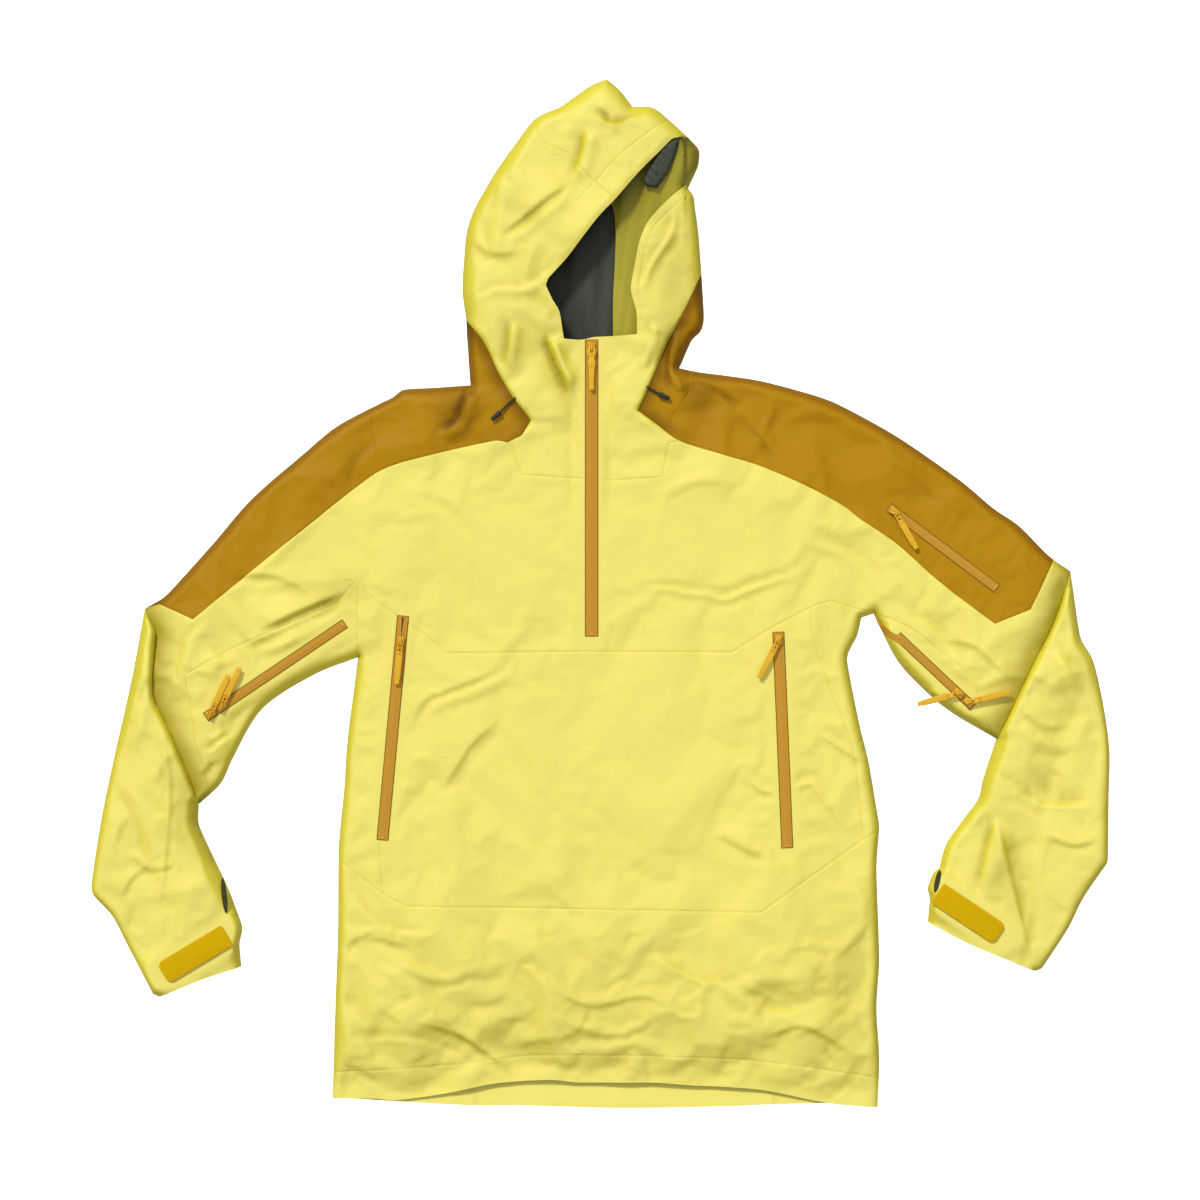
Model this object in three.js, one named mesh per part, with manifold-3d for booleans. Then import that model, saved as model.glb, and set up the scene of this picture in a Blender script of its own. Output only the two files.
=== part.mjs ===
// Half-zip hardshell pullover, laid flat on its back with the hood spread above the collar.
// Millimetres. +X is the wearer's left, +Y runs from the hem to the hood and +Z is up.
// The origin is on the floor below the middle of the garment. "Left" and "right" are the wearer's.

import * as THREE from 'three';
import { mergeVertices } from 'three/addons/utils/BufferGeometryUtils.js';
import Module from 'manifold-3d';

const wasm = await Module();
wasm.setup();

// ---------- Driving dimensions ----------
const CHEST_WIDTH = 600; // between the side seams, at the armpits
const BODY_LENGTH = 503.5; // back hem to the armpit line
const YOKE_HEIGHT = 360; // armpit line to the collar's top edge
const HOOD_HEIGHT = 293.5; // collar's top edge to the hood's peak
const HOOD_WIDTH = 271;
const SLEEVE_REACH = 271.8; // how far each sleeve spreads past the chest
const SLEEVE_DROP = 377; // armpit line down to the cuff

const LOFT = 24; // thickness of the body and sleeves as they lie
const HOOD_LOFT = 36;
const WALL = 1.6; // fabric wall
const BODY_EDGE = 8; // rounding of the folded edges
const HOOD_EDGE = 12;
const GAP = 0.3; // between neighbouring pieces

const FRONT_ZIP_LENGTH = 330;
const FRONT_ZIP_WIDTH = 14;
const POCKET_ZIP_LENGTH = 250;
const POCKET_ZIP_WIDTH = 12;
const ARM_ZIP_LENGTH = 150;
const RIGHT_PIT_ZIP_LENGTH = 186;
const LEFT_PIT_ZIP_LENGTH = 114;
const NARROW_ZIP_WIDTH = 10; // arm and pit zips
const RAIL_WIDTH = 4; // the row of teeth
const RAIL_HEIGHT = 1.2;

const SLIDER_LENGTH = 11;
const SLIDER_WIDTH = 9;
const SLIDER_HEIGHT = 3.3;
const BAIL_LENGTH = 8; // the loop on a slider that holds its puller
const BAIL_WIDTH = 2.4;
const BAIL_OPENING = 2.3;
const BAIL_THICKNESS = 1.4;
const PULLER_LENGTH = 48;
const PULLER_WIDTH = 7;
const PULLER_THICKNESS = 1.4;

const TAB_LENGTH = 84;
const TAB_WIDTH = 26;
const TAB_THICKNESS = 2;
const CORD_DIAMETER = 2.6;
const CORD_LENGTH = 31; // what shows outside the hood
const CORD_END_LENGTH = 13;
const CORD_END_DIAMETER = 6;
const CORD_END_TAPER = 0.7;

const LINING_THICKNESS = 1.2;
const LINING_MARGIN = 3; // kept clear of the hood's folded edge
const ADJUSTER_THICKNESS = 3;
const LOOP_LENGTH = 62;
const LOOP_WIDTH = 9;
const LOOP_BAND = 2;
const LOOP_END = 5; // where each end of the loop is sewn down
const LOOP_DROP = 14; // below the neck seam
const CUFF_MARGIN = 20; // how far a cuff's trim reaches past it
const CLEARANCE = 0.2; // beside moving metal, on top of the gap
const FOOT_SINK = 0.4; // a bail's feet sit in its slider, so that the two are one casting

// ---------- Layout ----------
// Points are drawn at the drafted size of each stretch and moved to the driving sizes above.
const DRAFT = { chest: 600, body: 503.5, yoke: 360, hood: 293.5, hoodWidth: 271, reach: 271.8, drop: 377 };
const DRAFT_ARMPIT = -75;
const DRAFT_NECK = 285;
const HEM_Y = -(BODY_LENGTH + YOKE_HEIGHT + HOOD_HEIGHT) / 2;
const ARMPIT_Y = HEM_Y + BODY_LENGTH;
const NECK_Y = ARMPIT_Y + YOKE_HEIGHT;

function across(x) {
  const half = DRAFT.chest / 2;
  const inside = Math.min(Math.abs(x), half) * CHEST_WIDTH / DRAFT.chest;
  const outside = Math.max(Math.abs(x) - half, 0) * SLEEVE_REACH / DRAFT.reach;
  return Math.sign(x) * (inside + outside);
}

function along(y, lower, draftLower) {
  if (y < DRAFT_ARMPIT) return ARMPIT_Y + (y - DRAFT_ARMPIT) * lower / draftLower;
  if (y < DRAFT_NECK) return ARMPIT_Y + (y - DRAFT_ARMPIT) * YOKE_HEIGHT / DRAFT.yoke;
  return NECK_Y + (y - DRAFT_NECK) * HOOD_HEIGHT / DRAFT.hood;
}

const body = ([x, y]) => new THREE.Vector2(across(x), along(y, BODY_LENGTH, DRAFT.body));
const sleeve = ([x, y]) => new THREE.Vector2(across(x), along(y, SLEEVE_DROP, DRAFT.drop));
const hood = ([x, y]) => new THREE.Vector2(x * HOOD_WIDTH / DRAFT.hoodWidth, along(y, BODY_LENGTH, DRAFT.body));

const FAR = 760; // past every edge

// ---------- Solids ----------
function solidOf(geometry) {
  const plain = geometry.index ? geometry.toNonIndexed() : geometry.clone();
  plain.deleteAttribute('normal');
  plain.deleteAttribute('uv');
  const merged = mergeVertices(plain, 1e-4);
  return new wasm.Manifold(new wasm.Mesh({
    numProp: 3,
    vertProperties: Float32Array.from(merged.attributes.position.array),
    triVerts: Uint32Array.from(merged.index.array),
  }));
}

function geometryOf(solid) {
  const mesh = solid.getMesh();
  const geometry = new THREE.BufferGeometry();
  geometry.setAttribute('position', new THREE.BufferAttribute(Float32Array.from(mesh.vertProperties), 3));
  geometry.setIndex(new THREE.BufferAttribute(Uint32Array.from(mesh.triVerts), 1));
  geometry.computeVertexNormals();
  return geometry;
}

function prism(points, low, high) {
  const geometry = new THREE.ExtrudeGeometry(new THREE.Shape(points), { depth: high - low, bevelEnabled: false });
  return solidOf(geometry.translate(0, 0, low));
}

// Everything between two heights.
function slab(low, high) {
  return solidOf(new THREE.BoxGeometry(4 * FAR, 4 * FAR, high - low).translate(0, 0, (low + high) / 2));
}

// The outline moved inwards by a distance, with mitred corners; outlines run anticlockwise.
function inset(points, distance) {
  return points.map((point, i) => {
    const before = points[(i + points.length - 1) % points.length];
    const after = points[(i + 1) % points.length];
    const arriving = point.clone().sub(before).normalize();
    const leaving = after.clone().sub(point).normalize();
    const normals = new THREE.Vector2(-arriving.y - leaving.y, arriving.x + leaving.x);
    const share = 1 + arriving.dot(leaving);
    return point.clone().addScaledVector(normals, distance / share);
  });
}

// A rounded slab: the outline at its widest, with quarter-round edges above and below.
function pillow(outline, low, high, edge) {
  const steps = 3;
  const layers = [];
  for (let i = 0; i <= steps; i++) {
    const turn = (i / steps) * Math.PI / 2;
    layers.push({ z: low + edge * (1 - Math.sin(turn)), cut: edge * (1 - Math.cos(turn)) });
  }
  const rounded = [...layers].reverse().concat(layers.map(({ z, cut }) => ({ z: low + high - z, cut })));
  const levels = rounded.filter(({ z }, i) => i === 0 || z > rounded[i - 1].z + 1e-6);
  const count = outline.length;
  const faces = THREE.ShapeUtils.triangulateShape(inset(outline, levels[0].cut), []);
  const positions = levels.flatMap(({ z, cut }) => inset(outline, cut).flatMap(({ x, y }) => [x, y, z]));
  const index = [];
  for (const [a, b, c] of faces) {
    const top = (levels.length - 1) * count;
    index.push(a, c, b, top + a, top + b, top + c);
  }
  for (let level = 0; level < levels.length - 1; level++) {
    for (let i = 0; i < count; i++) {
      const here = level * count + i;
      const next = level * count + (i + 1) % count;
      index.push(here, next, next + count, here, next + count, here + count);
    }
  }
  return new wasm.Manifold(new wasm.Mesh({
    numProp: 3, vertProperties: Float32Array.from(positions), triVerts: Uint32Array.from(index),
  }));
}

// A thin upright slab along a seam, which keeps the two panels apart.
function seamCut(points, low, high) {
  let cut = null;
  for (let i = 0; i < points.length - 1; i++) {
    const along = points[i + 1].clone().sub(points[i]);
    const box = new THREE.BoxGeometry(along.length() + GAP, GAP, high - low);
    box.rotateZ(along.angle());
    const middle = points[i].clone().add(points[i + 1]).multiplyScalar(0.5);
    box.translate(middle.x, middle.y, (low + high) / 2);
    cut = cut ? cut.add(solidOf(box)) : solidOf(box);
  }
  return cut;
}

// ---------- Outlines ----------
const OPEN_END = 45; // how far the open ends run on before they are trimmed
const down = (y) => y - OPEN_END;

const hemLine = [[-301, -567], [-110, -576], [40, -578.5], [311, -577]];
const frontHemLine = [[-345, -570], [-301, -566], [-178, -561], [-58, -547], [59, -549], [179, -557], [311, -576],
  [345, -580]];

const leftSide = [[313, -522], [310, -310], [314, -262], [291, -148], [277, -75], [286, -45], [300, -24]];
const rightSide = [[-272, -70], [-284, -162], [-294, -284], [-295, -380], [-299, -466]];
const leftUnderside = [[333, -75], [367, -111], [397, -135], [445, -163]];
const leftForearmInner = [[424, -229], [390, -279], [378, -320]];
const leftCuff = [[368, -369], [488, -424]];
const leftForearmOuter = [[542, -343], [570, -300], [571.8, -185], [554, -74], [539, -48], [528, 25]];
const leftShoulder = [[503, 43], [441, 96], [335, 175], [243, 222], [178, 239], [114, 248], [92, 256]];
const rightShoulder = [[-147, 240], [-160, 232], [-221, 229], [-294, 189], [-393, 105], [-488, -2], [-512, -17]];
const rightForearmOuter = [[-527, -97], [-547, -186], [-571.8, -325], [-549, -362]];
const rightCuff = [[-500, -452], [-404, -419]];
const rightForearmInner = [[-403, -375], [-422, -324], [-451, -262], [-451, -236]];
const rightUnderside = [[-427, -213], [-413, -184], [-380, -129], [-322, -91]];

const beyond = ([a, b], from) => {
  const start = sleeve(a);
  const end = sleeve(b);
  const out = end.clone().sub(start).rotateAround(new THREE.Vector2(), -Math.PI / 2).setLength(from);
  return [start.add(out), end.add(out)];
};

const bodyOutline = [
  body([-301, down(-567)]), body([311, down(-577)]), ...leftSide.map(body), ...leftUnderside.map(sleeve),
  ...leftForearmInner.map(sleeve), ...beyond(leftCuff, OPEN_END), ...leftForearmOuter.map(sleeve),
  ...leftShoulder.map(body), body([96, DRAFT_NECK - 1]), body([96, DRAFT_NECK + OPEN_END]),
  body([-147, DRAFT_NECK + OPEN_END]), body([-147, DRAFT_NECK - 1]), ...rightShoulder.map(body),
  ...rightForearmOuter.map(sleeve), ...beyond(rightCuff, OPEN_END), ...rightForearmInner.map(sleeve),
  ...rightUnderside.map(sleeve), ...rightSide.map(body),
];

const hoodOutline = [
  [-149, DRAFT_NECK + 1 - OPEN_END], [100, DRAFT_NECK + 1 - OPEN_END], [100, DRAFT_NECK + 1], [116, 312],
  [112, 363], [108, 420], [111, 485], [99, 512], [58, 546], [7, 578.5], [-64, 539], [-115, 478], [-150, 407],
  [-155, 340], [-149, DRAFT_NECK + 1],
].map(hood);

// ---------- Seams, from the collar outwards ----------
const ZIP_X = -10;
const rightYokeSeam = [[-135, 300], [-114, 246], [-78, 194], [-104, 169], [-186, 156], [-251, 135], [-337, 68],
  [-456, -29], [-524, -7]].map(body);
const leftYokeSeam = [[76, 300], [42, 205], [88, 171], [178, 143], [272, 98], [370, 21], [441, -34], [481, -18],
  [526, 77]].map(body);
const rightCollarSeam = [[-104, 169], [-88, 133], [ZIP_X, 128]].map(body);
const leftCollarSeam = [[88, 171], [69, 130], [ZIP_X, 128]].map(body);
const rightChestSeam = [[-287, -102], [-272, -70], [-274, -10], [-257, -3], [-224, -27], [-172, -67], [ZIP_X, -67]].map(body);
const leftChestSeam = [[305, -62], [300, -24], [296, -12], [258, -7], [235, -16], [191, -39], [147, -67], [ZIP_X, -67]].map(body);
const rightElbow = [[-550, -30], [-500, -43], [-501, -117], [-483, -155], [-464, -200], [-428, -252]].map(sleeve);
const leftElbow = [[570, 34], [528, 15], [508, -34], [481, -88], [454, -145], [428, -196]].map(sleeve);
const rightUnderarmSeam = [[-274, -10], [-297, -12], [-413, -62], [-468, -88], [-458, -140], [-436, -196],
  [-402, -236]].map(sleeve);
const leftUnderarmSeam = [[296, -12], [345, -28], [420, -95], [436, -125], [424, -178]].map(sleeve);
const rightPocketSeam = [[-224, -27], [-245, -286], [-241, -338]].map(body);
const leftSideSeam = [[235, -16], [239, -50], [258, -109], [284, -180], [294, -276]].map(body);
const lowerSeam = [[-284, -306], [-241, -338], [-216, -350], [179, -357], [294, -276]].map(body);
const rightHemSide = [[-284, -306], [-286, -380], [-290, -466], [-292, -FAR]].map(body);
const leftHemSide = [[294, -276], [300, -310], [303, -522], [301, -FAR]].map(body);
const centreSeam = [[ZIP_X, 340], [ZIP_X, -67]].map(body);
const rightArmhole = [[-318, 290], [-293, 110], [-272, -70], [-287, -102]].map(body);
const leftArmhole = [[318, 290], [304, 110], [300, -24], [305, -62]].map(body);
const backYokeSeam = [rightArmhole[1], leftArmhole[1]];

const hoodSeam = [[-95, 560], [-64, 505], [-37, 492], [-25, 477], [16, 441]].map(hood);
const brimSeam = [[102, 545], [62, 521], [20, 488], [-4, 459]].map(hood);
const leftBrimSeam = [[74, 500], [130, 505]].map(hood);
const faceOpening = [[-42, 200], [40, 200], [40, 315], [34, 340], [44, 395], [57, 420], [78, 441], [86, 466],
  [74, 500], [45, 472], [18, 442], [-22, 395], [-61, 344], [-46, 315]].map(hood);

// ---------- The body and sleeve shell ----------
const MID = LOFT / 2;
const bodyInner = pillow(inset(bodyOutline, WALL), WALL, LOFT - WALL, BODY_EDGE - WALL);
const trims = [
  prism([body([-FAR, -FAR]), body([FAR, -FAR]), body([345, -577]), ...hemLine.map(body).reverse(),
    body([-345, -567])], -1, LOFT + 1),
  prism([body([-345, -FAR]), body([345, -FAR]), ...frontHemLine.map(body).reverse()], MID, LOFT + 1),
  prism([body([-FAR, DRAFT_NECK]), body([FAR, DRAFT_NECK]), body([FAR, FAR]), body([-FAR, FAR])], -1, LOFT + 1),
];
for (const cuff of [leftCuff, rightCuff]) {
  const [near, far] = beyond(cuff, 0);
  const run = far.clone().sub(near).setLength(CUFF_MARGIN);
  const out = run.clone().rotateAround(new THREE.Vector2(), -Math.PI / 2).setLength(OPEN_END + CUFF_MARGIN);
  const a = near.clone().sub(run);
  const b = far.clone().add(run);
  trims.push(prism([a, a.clone().add(out), b.clone().add(out), b], -1, LOFT + 1));
}
const bodyShell = trims.reduce((solid, trim) => solid.subtract(trim),
  pillow(bodyOutline, 0, LOFT, BODY_EDGE).subtract(bodyInner));

// ---------- Zips ----------
const zips = {
  front_zip: { from: body([ZIP_X, DRAFT_NECK - 2]), towards: body([ZIP_X, -49]), length: FRONT_ZIP_LENGTH,
    width: FRONT_ZIP_WIDTH },
  right_pocket_zip: { from: body([-221, -26]), towards: body([-245, -286]), length: POCKET_ZIP_LENGTH,
    width: POCKET_ZIP_WIDTH },
  left_pocket_zip: { from: body([199, -44]), towards: body([209, -285]), length: POCKET_ZIP_LENGTH - 10,
    width: POCKET_ZIP_WIDTH },
  arm_pocket_zip: { from: body([323, 96]), towards: body([443, 6]), length: ARM_ZIP_LENGTH,
    width: NARROW_ZIP_WIDTH },
  right_pit_zip: { from: sleeve([-441, -138]), towards: sleeve([-288, -35]), length: RIGHT_PIT_ZIP_LENGTH,
    width: NARROW_ZIP_WIDTH },
  left_pit_zip: { from: sleeve([416, -126]), towards: sleeve([332, -47]), length: LEFT_PIT_ZIP_LENGTH,
    width: NARROW_ZIP_WIDTH },
};
for (const zip of Object.values(zips)) {
  zip.run = zip.towards.clone().sub(zip.from).normalize();
  zip.side = new THREE.Vector2(-zip.run.y, zip.run.x);
}
const zipPoint = (zip, distance, sideways = 0) => zip.from.clone().addScaledVector(zip.run, distance)
  .addScaledVector(zip.side, sideways);
const slots = Object.values(zips).map((zip) => {
  const half = zip.width / 2 + GAP;
  return prism([zipPoint(zip, -GAP, -half), zipPoint(zip, zip.length + GAP, -half),
    zipPoint(zip, zip.length + GAP, half), zipPoint(zip, -GAP, half)], MID, LOFT + 1);
});

// ---------- Panels cut from the shell ----------
const cutThrough = (shell, seams, low, high) => seams.reduce(
  (solid, seam) => solid.subtract(seamCut(seam, low, high)), shell);
const frontSeams = [rightYokeSeam, leftYokeSeam, rightCollarSeam, leftCollarSeam, rightChestSeam, leftChestSeam,
  rightElbow, leftElbow, rightUnderarmSeam, leftUnderarmSeam, rightPocketSeam, leftSideSeam, lowerSeam,
  rightHemSide, leftHemSide, centreSeam];
const insideEdge = prism(inset(bodyOutline, BODY_EDGE), -1, LOFT + 1);
const insideEdgeClear = prism(inset(bodyOutline, BODY_EDGE - GAP), -1, LOFT + 1);
const lowHalf = slab(-1, MID);
const slotted = slots.reduce((solid, slot) => solid.subtract(slot), cutThrough(bodyShell, frontSeams, -1, LOFT + 1));
const lids = slotted.intersect(insideEdge).subtract(lowHalf); // flat top panels
const edges = cutThrough(bodyShell, [rightYokeSeam, leftYokeSeam, rightUnderarmSeam, leftUnderarmSeam,
  rightChestSeam, leftChestSeam], -1, LOFT + 1).subtract(insideEdgeClear); // folded edges, top to bottom
const wraps = slotted.subtract(insideEdgeClear.intersect(lowHalf)); // top panels with their folded edge
const backs = cutThrough(bodyShell.intersect(insideEdge).intersect(lowHalf),
  [rightArmhole, leftArmhole, backYokeSeam], -1, MID);
const cutOut = (solid, region) => solid.intersect(prism(region, -1, HOOD_LOFT + 1));
const at = (...points) => points.map(body);
const atSleeve = (...points) => points.map(sleeve);
const backwards = (points) => [...points].reverse();

// ---------- Colours ----------
const finish = (color, roughness, metalness = 0) => new THREE.MeshStandardMaterial({ color, roughness, metalness });
const yellow = finish(0xf0e070, 0.6);
const ochre = finish(0xb8871c, 0.6);
const liningGrey = finish(0x5d5f53, 0.8);
const tapeBrown = finish(0xb5812f, 0.55);
const gold = finish(0xd8a016, 0.45);
const cordBlack = finish(0x2e2e30, 0.6);
const tabGold = finish(0xd2a508, 0.75);
const sliderMetal = finish(0xb48628, 0.35, 0.4);

const jacket = new THREE.Group();
function add(parent, name, geometry, material) {
  const mesh = new THREE.Mesh(geometry, material);
  mesh.name = name;
  parent.add(mesh);
  return mesh;
}
const addPanel = (name, solid, material) => add(jacket, name, geometryOf(solid), material);

// ---------- Front panels ----------
addPanel('right_yoke', cutOut(wraps, backwards([...rightYokeSeam, ...at([-FAR, -7], [-FAR, 420], [-135, 420])])),
  ochre);
addPanel('left_yoke', cutOut(wraps, [...leftYokeSeam, ...at([FAR, 77], [FAR, 420], [76, 420])]), ochre);
const rightCollarTop = rightYokeSeam.slice(0, 4);
const leftCollarTop = leftYokeSeam.slice(0, 3);
addPanel('right_collar', cutOut(slotted.subtract(lowHalf), [...rightCollarTop, ...rightCollarSeam.slice(1),
  ...at([ZIP_X, 330], [-135, 330])]), yellow);
addPanel('left_collar', cutOut(slotted.subtract(lowHalf), [...leftCollarTop, ...leftCollarSeam.slice(1),
  ...at([ZIP_X, 330], [76, 330])]), yellow);
addPanel('right_chest', cutOut(lids, [...rightYokeSeam.slice(3), ...rightElbow, ...backwards(rightUnderarmSeam),
  ...rightChestSeam.slice(3), ...backwards(rightCollarSeam).slice(0, 2)]), yellow);
addPanel('left_chest', cutOut(lids, [...leftYokeSeam.slice(2), ...leftElbow, ...backwards(leftUnderarmSeam),
  ...leftChestSeam.slice(3), ...backwards(leftCollarSeam).slice(0, 2)]), yellow);
addPanel('right_underarm', cutOut(wraps, [...rightUnderarmSeam, ...atSleeve([-350, -190], [-300, -110]),
  ...rightChestSeam.slice(0, 2)]), yellow);
addPanel('left_underarm', cutOut(wraps, [...leftUnderarmSeam, ...atSleeve([370, -165], [330, -110]),
  ...leftChestSeam.slice(0, 2)]), yellow);
addPanel('belly', cutOut(lids, [...rightPocketSeam, ...lowerSeam.slice(2), ...backwards(leftSideSeam).slice(1),
  ...leftChestSeam.slice(5), ...backwards(rightChestSeam).slice(1, 2)]), yellow);
addPanel('front_hem_panel', cutOut(lids, [...backwards(rightHemSide), ...lowerSeam.slice(1, 4), ...leftHemSide]),
  yellow);
addPanel('right_side_panel', cutOut(wraps, [...rightChestSeam.slice(0, 5), ...rightPocketSeam.slice(1),
  ...rightHemSide, ...at([-345, -FAR], [-345, -250], [-318, -150])]), yellow);
addPanel('left_side_panel', cutOut(wraps, [...leftChestSeam.slice(0, 5), ...leftSideSeam.slice(1),
  ...leftHemSide.slice(1), ...at([340, -FAR], [340, -250], [320, -120])]), yellow);

// ---------- Forearms ----------
const rightForearmRegion = [...rightElbow, ...atSleeve([-380, -300], [-380, -FAR], [-FAR, -FAR], [-FAR, -30])];
const leftForearmRegion = [...leftElbow, ...atSleeve([346, -230], [346, -FAR], [FAR, -FAR], [FAR, 34])];
addPanel('right_forearm', cutOut(lids, rightForearmRegion), yellow);
addPanel('left_forearm', cutOut(lids, leftForearmRegion), yellow);
const rightSleeveMiddle = atSleeve([-456, -29], [-482, -120], [-506, -300], [-452, -436], [-420, -560]);
const leftSleeveMiddle = atSleeve([481, -18], [497, -100], [497, -200], [470, -300], [428, -397], [400, -500]);
addPanel('right_sleeve_outer_edge', cutOut(edges, [...rightSleeveMiddle,
  ...atSleeve([-FAR, -560], [-FAR, -7], [-524, -7])]), yellow);
addPanel('left_sleeve_outer_edge', cutOut(edges, [...leftSleeveMiddle,
  ...atSleeve([FAR, -500], [FAR, 77], [526, 77])]), yellow);
addPanel('right_sleeve_inner_edge', cutOut(edges, [...rightSleeveMiddle.slice(1), ...atSleeve([-380, -560],
  [-380, -300]), ...backwards(rightUnderarmSeam).slice(0, 3)]), yellow);
addPanel('left_sleeve_inner_edge', cutOut(edges, [...leftSleeveMiddle.slice(1), ...atSleeve([346, -500],
  [346, -230]), ...backwards(leftUnderarmSeam).slice(0, 2)]), yellow);

// ---------- Back panels ----------
addPanel('back_yoke', cutOut(backs, [...backYokeSeam, leftArmhole[0], ...at([318, 420], [-318, 420]),
  rightArmhole[0]]), ochre);
addPanel('back_body', cutOut(backs, [...rightArmhole.slice(1), ...at([-345, -250], [-345, -FAR], [345, -FAR],
  [345, -250]), ...backwards(leftArmhole).slice(0, 3)]), yellow);
addPanel('right_sleeve_back', cutOut(backs, [...rightArmhole, ...at([-318, -150], [-350, -260], [-350, -FAR],
  [-FAR, -FAR], [-FAR, 290])]), yellow);
addPanel('left_sleeve_back', cutOut(backs, [...leftArmhole, ...at([322, -120], [348, -260], [348, -FAR],
  [FAR, -FAR], [FAR, 290])]), yellow);

// ---------- Hood ----------
const HOOD_MID = HOOD_LOFT / 2;
const insideHood = prism(inset(hoodOutline, HOOD_EDGE), -1, HOOD_LOFT + 1);
const insideHoodClear = prism(inset(hoodOutline, HOOD_EDGE - GAP), -1, HOOD_LOFT + 1);
const belowNeck = slab(-1, HOOD_LOFT + 1).translate(0, NECK_Y + GAP - 2 * FAR, 0);
const hoodInner = pillow(inset(hoodOutline, WALL), WALL, HOOD_LOFT - WALL, HOOD_EDGE - WALL);
const hoodShell = pillow(hoodOutline, 0, HOOD_LOFT, HOOD_EDGE).subtract(hoodInner).subtract(belowNeck);
const lowHood = slab(-1, HOOD_MID);
const peakSeam = [[7, 530], [7, FAR]].map(hood);
const hoodTop = cutThrough(hoodShell.intersect(insideHood).subtract(lowHood)
  .subtract(prism(faceOpening, HOOD_MID, HOOD_LOFT + 1)), [hoodSeam, brimSeam, leftBrimSeam], HOOD_MID,
HOOD_LOFT + 1);
const hoodEdges = cutThrough(hoodShell.subtract(insideHoodClear), [peakSeam], -1, HOOD_LOFT + 1);
const atHood = (...points) => points.map(hood);

// The hood stands higher than the collar, so each side turns down to meet it.
function neckLip(fromX, toX) {
  const [a, b] = atHood([fromX, DRAFT_NECK], [toX, DRAFT_NECK]);
  const near = NECK_Y + GAP;
  return prism([new THREE.Vector2(a.x, near), new THREE.Vector2(b.x, near), new THREE.Vector2(b.x, near + WALL),
    new THREE.Vector2(a.x, near + WALL)], LOFT + GAP, HOOD_LOFT - WALL / 2);
}

addPanel('hood_back', hoodShell.intersect(insideHood).intersect(lowHood), yellow);
addPanel('right_hood_side', cutOut(hoodTop, [...hoodSeam, ...atHood([16, 410], [-30, 200], [-300, 200],
  [-300, 560])]).add(neckLip(-136, -46)), yellow);
addPanel('hood_crown', cutOut(hoodTop, [...hoodSeam.slice(0, 4), ...backwards(brimSeam), ...atHood([102, 640],
  [-95, 640])]), yellow);
addPanel('hood_brim', cutOut(hoodTop, [...brimSeam, hoodSeam[4], ...atHood([30, 440], [60, 470]),
  ...leftBrimSeam]), yellow);
addPanel('left_hood_side', cutOut(hoodTop, [...leftBrimSeam, ...atHood([180, 200], [30, 200], [30, 420],
  [60, 470])]).add(neckLip(42, 87)), yellow);
addPanel('right_hood_edge', cutOut(hoodEdges, atHood([7, 200], [7, 660], [-300, 660], [-300, 200])), yellow);
addPanel('left_hood_edge', cutOut(hoodEdges, atHood([7, 200], [7, 660], [300, 660], [300, 200])), yellow);

const liningBed = WALL + GAP;
addPanel('hood_lining', prism(inset(hoodOutline, HOOD_EDGE + LINING_MARGIN), liningBed, liningBed + LINING_THICKNESS)
  .subtract(belowNeck), liningGrey);
const adjusterTop = HOOD_LOFT - WALL - GAP;
addPanel('brim_adjuster_tunnel', prism(atHood([80, 492], [77, 470], [60, 458], [54, 468], [58, 486], [68, 503]),
  adjusterTop - ADJUSTER_THICKNESS, adjusterTop), liningGrey);

function hangerLoopGeometry() {
  const shape = new THREE.Shape();
  shape.absellipse(0, 0, LOOP_LENGTH / 2, LOOP_WIDTH / 2, 0, Math.PI * 2);
  const hole = new THREE.Path();
  hole.absellipse(0, 0, LOOP_LENGTH / 2 - LOOP_END, LOOP_WIDTH / 2 - LOOP_BAND, 0, Math.PI * 2);
  shape.holes.push(hole);
  return new THREE.ExtrudeGeometry(shape, { depth: LINING_THICKNESS, bevelEnabled: false, curveSegments: 12 });
}
const hangerLoop = add(jacket, 'hanger_loop', hangerLoopGeometry(), ochre);
hangerLoop.position.set(body([ZIP_X, 0]).x, NECK_Y - LOOP_DROP, liningBed);

// ---------- Zip hardware ----------
const ACROSS_TO_ALONG = new THREE.Matrix4().makeBasis(new THREE.Vector3(0, 1, 0), new THREE.Vector3(0, 0, 1),
  new THREE.Vector3(1, 0, 0)); // a section drawn across the zip, run along it
const section = (pairs, depth) => new THREE.ExtrudeGeometry(new THREE.Shape(pairs.map(([x, y]) =>
  new THREE.Vector2(x, y))), { depth, bevelEnabled: false }).applyMatrix4(ACROSS_TO_ALONG);

function tapeGeometry(length, width) {
  const half = width / 2;
  const rail = RAIL_WIDTH / 2;
  return section([[-half, -WALL], [half, -WALL], [half, 0], [rail, 0], [rail, RAIL_HEIGHT], [-rail, RAIL_HEIGHT],
    [-rail, 0], [-half, 0]], length);
}

const SLIDER_TOP = GAP + SLIDER_HEIGHT;
const PIVOT_Z = SLIDER_TOP + BAIL_OPENING / 2; // the puller turns about this height over the tape

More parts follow.
